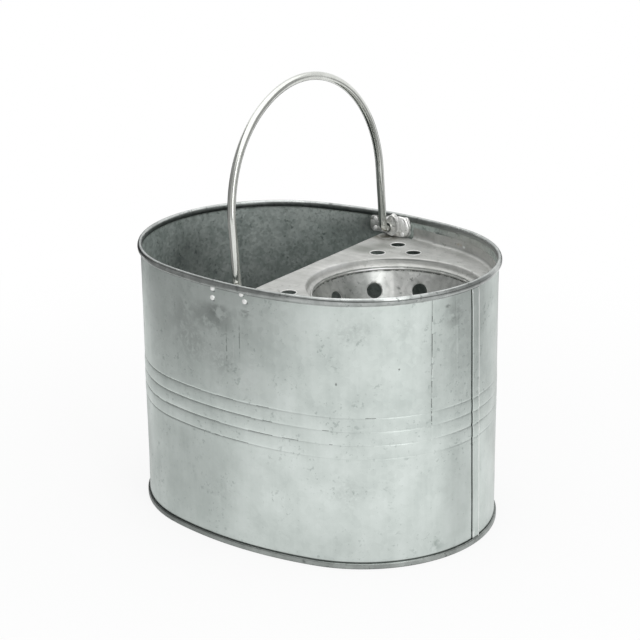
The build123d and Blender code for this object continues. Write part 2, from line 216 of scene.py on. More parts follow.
def drawn_on(bm: Mesh, geometry: Geometry, shift: Vector, steps: int) -> Geometry:
    """Extrude a ring of edges along a straight line.

    Args:
        bm: The mesh that holds the ring.
        geometry: Vertices and edges of the ring.
        shift: The whole way.
        steps: Number of equal lengths.

    Returns:
        Vertices and edges of the last ring.
    """
    for _ in range(steps):
        geometry = bmesh.ops.extrude_edge_only(bm, edges=edges_of(geometry))["geom"]
        geometry = [item for item in geometry if not isinstance(item, Face)]
        bmesh.ops.translate(bm, verts=verts_of(geometry), vec=shift / steps)
    return geometry


def closed_up(bm: Mesh) -> None:
    """Merge the meeting points of a mesh and turn its faces outwards."""
    bmesh.ops.remove_doubles(bm, verts=bm.verts, dist=WELD)
    bmesh.ops.recalc_face_normals(bm, faces=bm.faces)


def as_object(bm: Mesh, name: str) -> Item:
    """Turn a finished bmesh into an object in the scene.

    Args:
        bm: The mesh, which is freed.
        name: Name of the object.

    Returns:
        The object.
    """
    mesh = bpy.data.meshes.new(name)
    bm.to_mesh(mesh)
    bm.free()
    made = bpy.data.objects.new(name, mesh)
    bpy.context.scene.collection.objects.link(made)
    return made


def added(bm: Mesh, extra: Mesh) -> None:
    """Put one mesh into another.

    Args:
        bm: The mesh that is added to.
        extra: The mesh that is added, which is freed.
    """
    held = bpy.data.meshes.new("held")
    extra.to_mesh(held)
    extra.free()
    bm.from_mesh(held)
    bpy.data.meshes.remove(held)


def settled(made: Item) -> Item:
    """Apply an object's modifiers to its mesh.

    Args:
        made: The object.

    Returns:
        The same object.
    """
    graph = bpy.context.evaluated_depsgraph_get()
    mesh = bpy.data.meshes.new_from_object(made.evaluated_get(graph))
    made.modifiers.clear()
    made.data = mesh
    return made


def thickened(made: Item, sheet: float) -> Item:
    """Give an open sheet its thickness, behind its faces.

    Args:
        made: The sheet.
        sheet: Its thickness.

    Returns:
        The same object.
    """
    wall = made.modifiers.new("thickness", "SOLIDIFY")
    wall.thickness = sheet
    wall.offset = -1.0
    wall.use_even_offset = True
    return settled(made)


def drills(spots: Iterable[Matrix], radius: float, depth: float) -> Mesh:
    """Round cutters.

    Args:
        spots: Place and direction of each hole.
        radius: Radius of the holes.
        depth: Length of a cutter, half of it on each side.

    Returns:
        The cutters.
    """
    bm = bmesh.new()
    for spot in spots:
        bmesh.ops.create_cone(
            bm, cap_ends=True, segments=HOLE_SIDES, radius1=radius, radius2=radius, depth=depth, matrix=spot,
        )
    return bm


def drilled(made: Item, cutters: Mesh) -> None:
    """Cut holes through an object, with its modifiers so far applied.

    Args:
        made: The object.
        cutters: Closed cutters, which are freed.
    """
    cutter = as_object(cutters, made.name + "_cutters")
    cut = made.modifiers.new("holes", "BOOLEAN")
    cut.operation = "DIFFERENCE"
    cut.solver = "EXACT"
    cut.object = cutter
    settled(made)
    bpy.data.objects.remove(cutter)


def softened(made: Item) -> None:
    """Round the sharp edges of an object a little, and number their faces for a worn finish.

    Args:
        made: The object.
    """
    for number in range(WORN_NUMBER + 1):
        made.data.materials.append(bpy.data.materials.new(f"{made.name}_{number}"))
    bevel = made.modifiers.new("edges", "BEVEL")
    bevel.width = BEVEL_WIDTH
    bevel.segments = BEVEL_STEPS
    bevel.limit_method = "ANGLE"
    bevel.angle_limit = BEVEL_ANGLE
    bevel.material = WORN_NUMBER
    settled(made)


def rimmed(made: Item, spots: Iterable[Matrix], radius: float, wire: float) -> None:
    """Lay a fine burr round each hole of an object, numbered for a worn finish.

    Args:
        made: The object.
        spots: Place and direction of each hole.
        radius: Radius of the holes.
        wire: Radius of the burr.
    """
    rings = bmesh.new()
    across = Matrix.Translation((radius + wire / 2, 0.0, 0.0)) @ Matrix.Rotation(math.pi / 2, 4, "X")
    for spot in spots:
        ring = bmesh.ops.create_circle(
            rings, cap_ends=False, radius=wire, segments=BURR_SIDES, matrix=spot @ across,
        )
        edges = {edge for vert in ring["verts"] for edge in vert.link_edges}
        bmesh.ops.spin(
            rings, geom=ring["verts"] + list(edges), cent=spot.translation, axis=spot.to_3x3() @ UP,
            angle=2 * math.pi, steps=HOLE_SIDES, use_merge=True,
        )
    for face in rings.faces:
        face.material_index = WORN_NUMBER
    bmesh.ops.recalc_face_normals(rings, faces=rings.faces)
    bm = bmesh.new()
    bm.from_mesh(made.data)
    added(bm, rings)
    bm.to_mesh(made.data)
    bm.free()


def shaded(made: Item, angle: float) -> None:
    """Shade an object smoothly, with its edges sharper than an angle left crisp.

    Args:
        made: The object.
        angle: The angle, in radians.
    """
    bm = bmesh.new()
    bm.from_mesh(made.data)
    for face in bm.faces:
        face.smooth = True
    for edge in bm.edges:
        edge.smooth = len(edge.link_faces) == 2 and edge.calc_face_angle(0.0) < angle
    bm.to_mesh(made.data)
    bm.free()


@dataclass(frozen=True)
class Layer:
    """One layer of noise in a finish.

    Attributes:
        size: Size of its spots, as a length or as a share of a finish's own size.
        detail: Number of finer layers.
        low: Level up to which it is 0.
        high: Level from which it is 1.
    """

    size: float
    detail: float
    low: float
    high: float


CLOUDS = Layer(1.0, 5.0, 0.25, 0.75)
VEILS = Layer(4.0, 2.0, 0.30, 0.70)
STREAKS = Layer(1.0, 3.0, 0.3, 0.7)
PATCHES = Layer(1.1, 1.0, 0.46, 0.62)
FLECKS = Layer(4.0 * MM, 3.0, 0.58, 0.66)
PITS = Layer(2.6 * MM, 1.0, 0.70, 0.78)
BREAKS = Layer(1.0, 3.0, 0.36, 0.56)
NOISE_ROUGHNESS = 0.6
BEND_DETAIL = 2.0
BEND_SHARE = 0.35
VEIL_SHARE = 0.16
MARK_CORE = 0.15
ROUGH_BASE = 0.04
ROUGH_TONE = -0.16
ROUGH_CRYSTAL = 0.08
CRYSTAL_HEIGHT = 0.35
GRIT_SIZE = 0.9 * MM
GRIT_DETAIL = 3.0
GRIT_HEIGHT = 0.40
PIT_DEPTH = 0.45


class Sketch:
    """The node tree of a material or a world, drawn one node at a time."""

    def __init__(self, owner: bpy.types.Material | bpy.types.World) -> None:
        """Start an empty tree that reads Object coordinates.

        Args:
            owner: The new material or world.
        """
        self.owner = owner
        owner.use_nodes = True
        self.tree = owner.node_tree
        self.tree.nodes.clear()
        self.place = self.node("ShaderNodeTexCoord").outputs["Object"]

    def node(self, kind: str, **settings: object) -> bpy.types.Node:
        """Add a node.

        Args:
            kind: Its type.
            settings: Values of its properties.

        Returns:
            The node.
        """
        made = self.tree.nodes.new(kind)
        for key, value in settings.items():
            setattr(made, key, value)
        return made

    def feed(self, socket: Socket, value: object) -> None:
        """Link an output to a socket, or set the socket to a value.

        Args:
            socket: The socket.
            value: Output or value.
        """
        if isinstance(value, Socket):
            self.tree.links.new(value, socket)
        else:
            socket.default_value = value

    def sum(self, operation: str, first: object, second: object = 0.0, clamp: bool = False) -> Socket:
        """Work out one number from two.

        Args:
            operation: Blender's name of the operation.
            first: Output or number.
            second: Output or number.
            clamp: Whether the result is kept between 0 and 1.

        Returns:
            The result.
        """
        made = self.node("ShaderNodeMath", operation=operation, use_clamp=clamp)
        self.feed(made.inputs[0], first)
        self.feed(made.inputs[1], second)
        return made.outputs[0]

    def plus(self, base: object, value: object, share: float, clamp: bool = False) -> Socket:
        """Add a share of a value to a number."""
        return self.sum("ADD", base, self.sum("MULTIPLY", value, share), clamp)

    def stretched(self, centre: Place, reach: Place) -> Socket:
        """Object coordinates measured from a centre, in units of a reach along each axis.

        Args:
            centre: The centre.
            reach: The reaches.

        Returns:
            The coordinates.
        """
        made = self.node("ShaderNodeMapping", vector_type="TEXTURE")
        self.feed(made.inputs["Vector"], self.place)
        made.inputs["Location"].default_value = centre
        made.inputs["Scale"].default_value = reach
        return made.outputs["Vector"]

    def clouds(self, size: float, detail: float, place: Socket | None = None) -> Socket:
        """Soft noise between 0 and 1.

        Args:
            size: Size of the clouds.
            detail: Number of finer layers.
            place: Coordinates, if not the object's own.

        Returns:
            The noise.
        """
        made = self.node("ShaderNodeTexNoise", noise_dimensions="3D")
        self.feed(made.inputs["Vector"], place or self.place)
        made.inputs["Scale"].default_value = 1.0 / size
        made.inputs["Detail"].default_value = detail
        made.inputs["Roughness"].default_value = NOISE_ROUGHNESS
        return made.outputs["Fac"]

    def grains(self, size: float, spread: float) -> tuple[Socket, Socket]:
        """Crystals of a zinc coat.

        Args:
            size: Size of a crystal.
            spread: How far the crystals are bent out of shape.

        Returns:
            A random level for each crystal, and the distance from its middle.
        """
        bend = self.node("ShaderNodeTexNoise", noise_dimensions="3D")
        self.feed(bend.inputs["Vector"], self.place)
        bend.inputs["Scale"].default_value = 1.0 / size
        bend.inputs["Detail"].default_value = BEND_DETAIL
        shift = self.node("ShaderNodeVectorMath", operation="MULTIPLY_ADD")
        self.feed(shift.inputs[0], bend.outputs["Color"])
        shift.inputs[1].default_value = (spread, spread, spread)
        self.feed(shift.inputs[2], self.place)
        cells = self.node("ShaderNodeTexVoronoi", voronoi_dimensions="3D", feature="F1")
        self.feed(cells.inputs["Vector"], shift.outputs[0])
        cells.inputs["Scale"].default_value = 1.0 / size
        level = self.node("ShaderNodeSeparateColor")
        self.feed(level.inputs[0], cells.outputs["Color"])
        return level.outputs[0], cells.outputs["Distance"]

    def ramp(self, value: object, low: float, high: float, start: float = 0.0, end: float = 1.0) -> Socket:
        """Soft change from one number to another while a value goes from low to high.

        Args:
            value: Output or number.
            low: Where the change starts.
            high: Where it ends.
            start: Number at low.
            end: Number at high.

        Returns:
            The number.
        """
        made = self.node("ShaderNodeMapRange", interpolation_type="SMOOTHSTEP")
        self.feed(made.inputs["Value"], value)
        made.inputs["From Min"].default_value = low
        made.inputs["From Max"].default_value = high
        made.inputs["To Min"].default_value = start
        made.inputs["To Max"].default_value = end
        return made.outputs["Result"]

    def layer(self, kind: Layer, size: float = 1.0, place: Socket | None = None) -> Socket:
        """Spots of noise, from 0 to 1.

        Args:
            kind: The layer.
            size: What its size is a share of.
            place: Coordinates, if not the object's own.

        Returns:
            The noise.
        """
        return self.ramp(self.clouds(kind.size * size, kind.detail, place), kind.low, kind.high)

    def tones(self, value: Socket, stops: Sequence[tuple[float, Colour]]) -> Socket:
        """Colours along a value.

        Args:
            value: Between 0 and 1.
            stops: Positions and colours.

        Returns:
            The colour.
        """
        made = self.node("ShaderNodeValToRGB")
        self.feed(made.inputs[0], value)
        ramp = made.color_ramp
        while len(ramp.elements) < len(stops):
            ramp.elements.new(1.0)
        for element, (position, colour) in zip(ramp.elements, stops):
            element.position = position
            element.color = (*colour, 1.0)
        return made.outputs["Color"]

    def mixed(self, share: object, first: object, second: object) -> Socket:
        """Colour between two colours.

        Args:
            share: Share of the second.
            first: Output or colour.
            second: Output or colour.

        Returns:
            The colour.
        """
        made = self.node("ShaderNodeMix", data_type="RGBA")
        self.feed(made.inputs["Factor"], share)
        for name, value in (("A", first), ("B", second)):
            socket = next(item for item in made.inputs if item.name == name and item.type == "RGBA")
            self.feed(socket, value if isinstance(value, Socket) else (*value, 1.0))
        return next(item for item in made.outputs if item.type == "RGBA")

    def distance(self, vector: Socket) -> Socket:
        """Length of a vector.

        Args:
            vector: The vector.

        Returns:
            Its length.
        """
        made = self.node("ShaderNodeVectorMath", operation="LENGTH")
        self.feed(made.inputs[0], vector)
        return made.outputs["Value"]

    def shown(self) -> Socket:
        """Where a ray sees the background: 1 for camera, glossy and transmission rays.

        Returns:
            1 or 0.
        """
        path = self.node("ShaderNodeLightPath").outputs
        seen = self.sum("MAXIMUM", path["Is Camera Ray"], path["Is Glossy Ray"])
        return self.sum("MAXIMUM", seen, path["Is Transmission Ray"])

    def plain(self, kind: str, grey: float, strength: float | None = None) -> Socket:
        """A shader of one grey.

        Args:
            kind: Its type.
            grey: Its level.
            strength: Its strength, if it is set.

        Returns:
            The shader.
        """
        made = self.node(kind)
        made.inputs["Color"].default_value = (grey, grey, grey, 1.0)
        if strength is not None:
            made.inputs["Strength"].default_value = strength
        return made.outputs[0]

    def blend(self, share: Socket, first: Socket, second: Socket) -> Socket:
        """Shader between two shaders.

        Args:
            share: Share of the second.
            first: A shader.
            second: A shader.

        Returns:
            The shader.
        """
        made = self.node("ShaderNodeMixShader")
        for socket, value in zip(made.inputs, (share, first, second)):
            self.feed(socket, value)
        return made.outputs[0]

    def end(self, shader: Socket, kind: str = "ShaderNodeOutputMaterial") -> None:
        """Finish the tree with a shader."""
        self.feed(self.node(kind).inputs["Surface"], shader)

    def metal(
        self,
        colour: Socket,
        roughness: Socket,
        height: Socket,
        depth: float,
        metallic: float,
    ) -> bpy.types.Material:
        """Finish the tree as a metal.

        Args:
            colour: Base colour.
            roughness: Roughness.
            height: Height of the surface's fine relief, 0 to 1.
            depth: What a height of 1 stands for.
            metallic: Share of metal.

        Returns:
            The finished material.
        """
        relief = self.node("ShaderNodeBump")
        relief.inputs["Strength"].default_value = 1.0
        relief.inputs["Distance"].default_value = depth
        self.feed(relief.inputs["Height"], height)
        shader = self.node("ShaderNodeBsdfPrincipled")
        self.feed(shader.inputs["Base Color"], colour)
        self.feed(shader.inputs["Roughness"], roughness)
        self.feed(shader.inputs["Normal"], relief.outputs["Normal"])
        shader.inputs["Metallic"].default_value = metallic
        self.end(shader.outputs["BSDF"])
        return self.owner


@dataclass(frozen=True)
class Mark:
    """A soft local mark on a finish, broken up by noise: a stain, smudge, scuff or scratch, or a patch of
    painted shade or painted highlight.

    Attributes:
        centre: Middle of the mark, in millimetres.
        reach: How far it reaches along each axis, in millimetres.
        colour: Its colour.
        strength: How strongly it covers the finish.
        grain: Size of the noise that breaks it up, or None for a whole mark.
    """

    centre: Place
    reach: Place
    colour: Colour
    strength: float
    grain: float | None = None


@dataclass(frozen=True)
class Galvanised:
    """Hot-dipped zinc: crystals, clouds, fine streaks, flecks, pits and local marks.

    Attributes:
        name: Name of the material.
        dark: Colour of its darkest clouds.
        middle: Its main colour.
        light: Colour of its palest clouds.
        crystal: Size of the zinc crystals.
        crystal_share: How much the crystals show.
        cloud: Size of the clouds.
        cloud_share: How much the clouds show.
        streak: Lengths of the streaks along the axes.
        streak_share: How much the streaks show.
        fleck_share: How much the dark flecks show.
        pit_share: How much the pits show.
        roughness: Mean roughness.
        relief: Depth of the fine relief.
        metallic: Share of metal.
        marks: Local marks.
    """

    name: str
    dark: Colour
    middle: Colour
    light: Colour
    crystal: float = 5.0 * MM
    crystal_share: float = 0.20
    cloud: float = 26.0 * MM
    cloud_share: float = 0.34
    streak: Place = (7.0 * MM, 7.0 * MM, 120.0 * MM)
    streak_share: float = 0.10
    fleck_share: float = 0.60
    pit_share: float = 0.30
    roughness: float = 0.42
    relief: float = 0.06 * MM
    metallic: float = 1.0
    marks: tuple[Mark, ...] = ()

    def tone(self, sketch: Sketch, level: Socket, pits: Socket) -> Socket:
        """Lightness of the coat, between 0 and 1.

        Args:
            sketch: The material's tree.
            level: Random level of each crystal.
            pits: Where the pits are.

        Returns:
            The lightness.
        """
        along = sketch.stretched((0.0, 0.0, 0.0), self.streak)
        layers = (
            (sketch.layer(CLOUDS, self.cloud), self.cloud_share),
            (sketch.layer(VEILS, self.cloud), VEIL_SHARE),
            (level, self.crystal_share),
            (sketch.layer(STREAKS, place=along), self.streak_share),
        )
        tone: object = 0.5 - 0.5 * sum(share for _, share in layers)
        for value, share in layers:
            tone = sketch.plus(tone, value, share)
        flecks = sketch.sum("MULTIPLY", sketch.layer(FLECKS), sketch.layer(PATCHES, self.cloud))
        tone = sketch.plus(tone, flecks, -self.fleck_share)
        return sketch.plus(tone, pits, -self.pit_share, clamp=True)

    def material(self) -> bpy.types.Material:
        """Draw the material.

        Returns:
            The finished material.
        """
        sketch = Sketch(bpy.data.materials.new(self.name))
        level, middle = sketch.grains(self.crystal, BEND_SHARE * self.crystal)
        pits = sketch.layer(PITS)
        tone = self.tone(sketch, level, pits)
        colour = sketch.tones(tone, [(0.0, self.dark), (0.5, self.middle), (1.0, self.light)])
        broken: dict[float, Socket] = {}
        for mark in self.marks:
            centre = tuple(value * MM for value in mark.centre)
            reach = tuple(value * MM for value in mark.reach)
            away = sketch.distance(sketch.stretched(centre, reach))
            cover = sketch.ramp(away, MARK_CORE, 1.0, mark.strength, 0.0)
            if mark.grain:
                if mark.grain not in broken:
                    broken[mark.grain] = sketch.layer(BREAKS, mark.grain)
                cover = sketch.sum("MULTIPLY", cover, broken[mark.grain])
            colour = sketch.mixed(cover, colour, mark.colour)
        rough = sketch.plus(self.roughness + ROUGH_BASE, tone, ROUGH_TONE)
        rough = sketch.plus(rough, level, ROUGH_CRYSTAL)
        height = sketch.sum("MULTIPLY", middle, CRYSTAL_HEIGHT)
        height = sketch.plus(height, sketch.clouds(GRIT_SIZE, GRIT_DETAIL), GRIT_HEIGHT)
        height = sketch.plus(height, pits, -PIT_DEPTH)
        return sketch.metal(colour, rough, height, self.relief, self.metallic)


# Dark grey used both for smudges of dirt and for patches of painted shade.
SOOT_AND_SHADE = srgb(108, 115, 112)
# Near-black used both for grime and for painted shadows, painted shade lines and painted dark reflections.
GRIME_AND_SHADE = srgb(66, 70, 68)
# Pale grey used both for pale zinc and for painted highlights.
PALE_ZINC_AND_HIGHLIGHT = srgb(232, 236, 234)
EVERYWHERE = 9000.0
BLOTCH = 9.0 * MM
SMUDGE = 6.0 * MM
SPECKLE = 3.0 * MM
SPRAY = 2.4 * MM
WALL_MARKS = (
    # Painted shade: a dark line where the wall meets the foot's fold.
    Mark((0.0, 0.0, 5.5), (EVERYWHERE, EVERYWHERE, 0.9), GRIME_AND_SHADE, 0.90),
    Mark((-20.0, -120.0, 202.0), (34.0, 14.0, 18.0), SOOT_AND_SHADE, 0.42, BLOTCH),
    Mark((-14.0, -120.6, 209.0), (16.0, 9.0, 10.0), SOOT_AND_SHADE, 0.40, BLOTCH),
    Mark((14.0, -120.0, 212.0), (8.0, 8.0, 5.0), SOOT_AND_SHADE, 0.40, SPECKLE),
    Mark((-57.0, -115.6, 196.0), (26.0, 16.0, 26.0), SOOT_AND_SHADE, 0.22, BLOTCH),
    Mark((-45.0, -116.8, 176.0), (30.0, 12.0, 26.0), SOOT_AND_SHADE, 0.20, SPECKLE),
    Mark((-10.0, -120.7, 166.0), (22.0, 6.0, 20.0), SOOT_AND_SHADE, 0.20, SPECKLE),
    Mark((-5.2, -120.9, 180.0), (0.8, 5.0, 26.0), SOOT_AND_SHADE, 0.60, SPECKLE),
    Mark((8.4, -120.8, 188.0), (0.8, 5.0, 22.0), SOOT_AND_SHADE, 0.60, SPECKLE),
    Mark((2.0, -120.9, 180.0), (0.7, 5.0, 16.0), PALE_ZINC_AND_HIGHLIGHT, 0.50, SPECKLE),
    Mark((-95.9, -104.3, 33.0), (1.3, 2.0, 15.0), PALE_ZINC_AND_HIGHLIGHT, 0.85, SPECKLE),
    Mark((104.0, -100.1, 208.0), (28.0, 22.0, 14.0), SOOT_AND_SHADE, 0.13, SPECKLE),
    Mark((136.0, -72.0, 210.0), (16.0, 20.0, 14.0), SOOT_AND_SHADE, 0.10, SPECKLE),
    Mark((134.2, -75.0, 175.0), (1.2, 1.2, 1.2), GRIME_AND_SHADE, 0.80),
    Mark((93.6, -105.3, 163.0), (1.2, 1.2, 2.0), GRIME_AND_SHADE, 0.70),
    Mark((158.0, -29.8, 213.0), (10.0, 14.0, 18.0), SOOT_AND_SHADE, 0.34, BLOTCH),
    Mark((155.7, -37.2, 222.0), (3.0, 5.0, 2.0), GRIME_AND_SHADE, 0.50, SPECKLE),
    Mark((152.0, -46.7, 13.0), (12.0, 17.0, 10.0), srgb(162, 173, 168), 0.60, BLOTCH),
    Mark((102.0, -100.5, 68.0), (22.0, 16.0, 24.0), SOOT_AND_SHADE, 0.10, SPECKLE),
    Mark((-18.0, -120.0, 50.0), (34.0, 8.0, 18.0), SOOT_AND_SHADE, 0.10, SPECKLE),
    # Painted shade: soft darkening of the lower wall, of both ends and towards the bottom.
    Mark((-140.0, -64.0, 50.0), (60.0, 70.0, 80.0), SOOT_AND_SHADE, 0.34),
    Mark((-62.0, -108.0, 56.0), (110.0, 60.0, 84.0), SOOT_AND_SHADE, 0.40),
    Mark((158.0, -20.0, 55.0), (14.0, 34.0, 80.0), SOOT_AND_SHADE, 0.26),
    Mark((150.0, -50.0, 165.0), (14.0, 18.0, 70.0), SOOT_AND_SHADE, 0.14),
    Mark((0.0, 0.0, 0.0), (EVERYWHERE, EVERYWHERE, 60.0), SOOT_AND_SHADE, 0.14),
    # Painted shadows beside and below the front rivets.
    Mark((16.7, -120.2, 221.5), (1.6, 3.0, 1.6), GRIME_AND_SHADE, 0.70),
    Mark((13.5, -120.3, 227.3), (1.4, 3.0, 1.4), GRIME_AND_SHADE, 0.60),
    Mark((-17.7, -119.9, 217.2), (1.9, 3.0, 1.4), GRIME_AND_SHADE, 0.50),
    Mark((-17.2, -119.9, 225.2), (2.4, 3.0, 1.4), GRIME_AND_SHADE, 0.50),
    Mark((17.7, -120.0, 215.6), (2.2, 3.0, 0.8), PALE_ZINC_AND_HIGHLIGHT, 0.50),
    Mark((17.7, -120.0, 214.5), (2.0, 3.0, 0.7), GRIME_AND_SHADE, 0.35),
    # Painted shade: the far side of the wringer end darker.
    Mark((145.0, 70.0, 120.0), (42.0, 80.0, 150.0), srgb(176, 176, 174), 0.34),
    Mark((161.5, -9.6, 227.0), (3.0, 1.8, 2.0), PALE_ZINC_AND_HIGHLIGHT, 0.95),
    Mark((162.0, -3.0, 9.5), (4.0, 2.6, 5.5), PALE_ZINC_AND_HIGHLIGHT, 0.90, SPECKLE),
)
WALL_FINISH = Galvanised(
    name="galvanised_wall",
    dark=srgb(189, 198, 194),
    middle=srgb(214, 222, 218),
    light=srgb(231, 238, 235),
    crystal_share=0.16,
    cloud_share=0.30,
    fleck_share=0.42,
    marks=WALL_MARKS,
)
RIM_FINISH = Galvanised(
    name="rolled_rim",
    dark=srgb(136, 140, 138),
    middle=srgb(176, 180, 178),
    light=srgb(210, 213, 211),
    cloud=12.0 * MM,
    roughness=0.30,
    # Painted dark reflection band across the roll, and painted shade on its lower part.
    marks=(
        Mark((-80.0, -104.0, 234.4), (180.0, 130.0, 0.5), GRIME_AND_SHADE, 0.65),
        Mark((-80.0, -104.0, 230.6), (180.0, 130.0, 1.5), GRIME_AND_SHADE, 0.60),
        Mark((120.0, -70.0, 234.2), (150.0, 150.0, 0.7), GRIME_AND_SHADE, 0.85),
    ),
)
# Darker copy of the rim's zinc: painted shade on the roll's inner side, with painted light towards the far
# right.
RIM_SHADE_FINISH = Galvanised(
    name="rim_inside",
    dark=srgb(84, 89, 87),
    middle=srgb(112, 117, 115),
    light=srgb(142, 147, 145),
    crystal=3.0 * MM,
    cloud=10.0 * MM,
    roughness=0.46,
    marks=(
        Mark((110.0, 90.0, 232.0), (120.0, 110.0, 30.0), srgb(178, 180, 178), 0.75),
    ),
)
# Darker copy of the wall's zinc: painted shade in the creases and painted shadow in the row below the rim.
CREASE_SHADE_FINISH = Galvanised(
    name="sheet_crease_shade",
    dark=srgb(92, 98, 95),
    middle=srgb(132, 138, 135),
    light=srgb(168, 174, 171),
    cloud=3.0 * MM,
    roughness=0.50,
)
INSIDE_FINISH = Galvanised(
    name="galvanised_inside",
    dark=srgb(134, 144, 140),
    middle=srgb(184, 194, 190),
    light=srgb(222, 230, 226),
    crystal=2.4 * MM,
    crystal_share=0.40,
    cloud=12.0 * MM,
    streak_share=0.04,
    roughness=0.44,
    metallic=0.6,
    # Painted shade deepening towards the bottom and at the left end, painted shadow beside the back ear, and
    # painted light near the top of the far wall.
    marks=(
        Mark((0.0, 0.0, 20.0), (EVERYWHERE, EVERYWHERE, 200.0), srgb(92, 98, 95), 0.68),
        Mark((-70.0, 112.0, 226.0), (90.0, 40.0, 16.0), srgb(220, 228, 224), 0.85, SPECKLE),
        Mark((0.0, 0.0, 0.0), (EVERYWHERE, EVERYWHERE, 165.0), srgb(38, 44, 41), 0.75),
        Mark((-158.0, 16.0, 190.0), (30.0, 50.0, 40.0), GRIME_AND_SHADE, 0.34),
        Mark((-46.0, 115.8, 214.0), (34.0, 20.0, 22.0), GRIME_AND_SHADE, 0.30),
        Mark((-22.0, 118.0, 221.0), (24.0, 8.0, 14.0), GRIME_AND_SHADE, 0.70),
        Mark((84.0, 98.0, 224.0), (66.0, 44.0, 16.0), srgb(182, 181, 176), 0.70),
    ),
)
# Near-black zinc: painted shadow in the lock seam's open gap.
SEAM_GAP_SHADE_FINISH = Galvanised(
    name="open_seam_shade",
    dark=srgb(40, 44, 42),
    middle=srgb(62, 66, 64),
    light=srgb(96, 100, 98),
    roughness=0.62,
)
# Pale zinc: real wear on edges and burrs, and a painted highlight on the seam's ridge.
WORN_AND_HIGHLIGHT_FINISH = Galvanised(
    name="worn_edge_and_highlight",
    dark=srgb(206, 207, 205),
    middle=srgb(230, 231, 229),
    light=srgb(246, 246, 245),
    fleck_share=0.2,
    roughness=0.32,
    relief=0.02 * MM,
    metallic=0.35,
)
DECK_FINISH = Galvanised(
    name="brushed_deck",
    dark=srgb(160, 161, 157),
    middle=srgb(187, 188, 185),
    light=srgb(209, 209, 206),
    streak=(50.0 * MM, 5.0 * MM, 5.0 * MM),
    streak_share=0.22,
    fleck_share=0.40,
    roughness=0.54,
    metallic=0.8,
    marks=(
        Mark((-4.0, 108.0, 215.0), (22.0, 13.0, 6.0), srgb(116, 112, 97), 0.85, SMUDGE),
        # Painted highlight on a spot weld.
        Mark((80.5, 108.5, 220.0), (2.6, 2.6, 1.8), PALE_ZINC_AND_HIGHLIGHT, 0.95),
        Mark((75.0, 110.0, 221.0), (5.0, 4.0, 2.0), srgb(176, 168, 148), 0.70, SPRAY),
        Mark((33.0, 117.0, 223.0), (12.0, 10.0, 5.0), srgb(128, 136, 131), 0.50, BLOTCH),
        # Painted shade where the deck turns up into the flange.
        Mark((95.0, 95.0, 217.0), (120.0, 80.0, 1.5), srgb(110, 113, 110), 0.36),
        # Painted highlights on the lip's ledge.
        Mark((27.6, 48.0, 207.6), (34.0, 34.0, 2.0), srgb(255, 255, 255), 1.00),
        Mark((5.6, 10.0, 213.0), (14.0, 46.0, 3.5), srgb(255, 255, 255), 0.45),
        # Painted shade beside the crease, at the lip's outer bend and on the lip's left end.
        Mark((2.0, 68.0, 215.2), (24.0, 15.0, 5.0), srgb(118, 122, 115), 0.60),
        Mark((46.0, 66.0, 213.9), (56.0, 40.0, 1.1), GRIME_AND_SHADE, 0.60),
        Mark((18.0, 2.0, 210.5), (14.0, 30.0, 8.0), srgb(116, 119, 114), 0.44),
        Mark((12.0, 84.0, 215.2), (16.0, 14.0, 4.0), srgb(124, 127, 120), 0.42),
        Mark((45.0, 78.0, 215.2), (14.0, 9.0, 3.0), srgb(124, 127, 122), 0.36),
    ),
)
CONE_FINISH = Galvanised(
    name="wringer_zinc",
    dark=srgb(150, 152, 149),
    middle=srgb(196, 198, 195),
    light=srgb(226, 227, 224),
    crystal=3.4 * MM,
    crystal_share=0.26,
    cloud=15.0 * MM,
    roughness=0.34,
    marks=(
        # Dark line along the joint under the lip: partly dirt in the joint, partly painted shade of the step.
        Mark((0.0, 0.0, 205.6), (EVERYWHERE, EVERYWHERE, 0.8), GRIME_AND_SHADE, 0.95, SPECKLE),
        Mark((22.0, 30.0, 190.0), (32.0, 40.0, 32.0), SOOT_AND_SHADE, 0.30),
    ),
)
# Darker zinc for the pan, partly painted shade near the floor; its marks paint shade along the bottom edge
# and over the near left of the foot.
FLOOR_FINISH = Galvanised(
    name="pan_zinc",
    dark=srgb(120, 125, 122),
    middle=srgb(152, 157, 154),
    light=srgb(184, 189, 186),
    streak=(30.0 * MM, 30.0 * MM, 3.0 * MM),
    marks=(
        Mark((0.0, 0.0, 0.2), (EVERYWHERE, EVERYWHERE, 1.0), GRIME_AND_SHADE, 0.85),
        Mark((-100.0, -90.0, 2.5), (130.0, 90.0, 30.0), GRIME_AND_SHADE, 0.60),
    ),
)
EAR_FINISH = Galvanised(
    name="pressed_zinc",
    dark=srgb(168, 169, 166),
    middle=srgb(232, 232, 230),
    light=srgb(253, 253, 252),
    crystal=2.2 * MM,
    cloud=6.0 * MM,
    streak=(1.5 * MM, 1.5 * MM, 12.0 * MM),
    roughness=0.32,
    relief=0.03 * MM,
    metallic=0.72,
)
RIVET_FINISH = Galvanised(
    name="rivet_zinc",
    dark=srgb(200, 201, 198),
    middle=srgb(238, 239, 237),
    light=srgb(252, 252, 251),
    crystal=1.2 * MM,
    cloud=2.0 * MM,
    fleck_share=0.10,
    roughness=0.30,
    relief=0.01 * MM,
    metallic=0.20,
)
WIRE_FINISH = Galvanised(
    name="drawn_wire",
    dark=srgb(164, 166, 161),
    middle=srgb(212, 214, 209),
    light=srgb(238, 240, 236),
    crystal=1.6 * MM,
    crystal_share=0.02,
    cloud=16.0 * MM,
    cloud_share=0.20,
    streak=(1.2 * MM, 1.2 * MM, 70.0 * MM),
    streak_share=0.20,
    fleck_share=0.05,
    pit_share=0.05,
    roughness=0.14,
    relief=0.004 * MM,
)
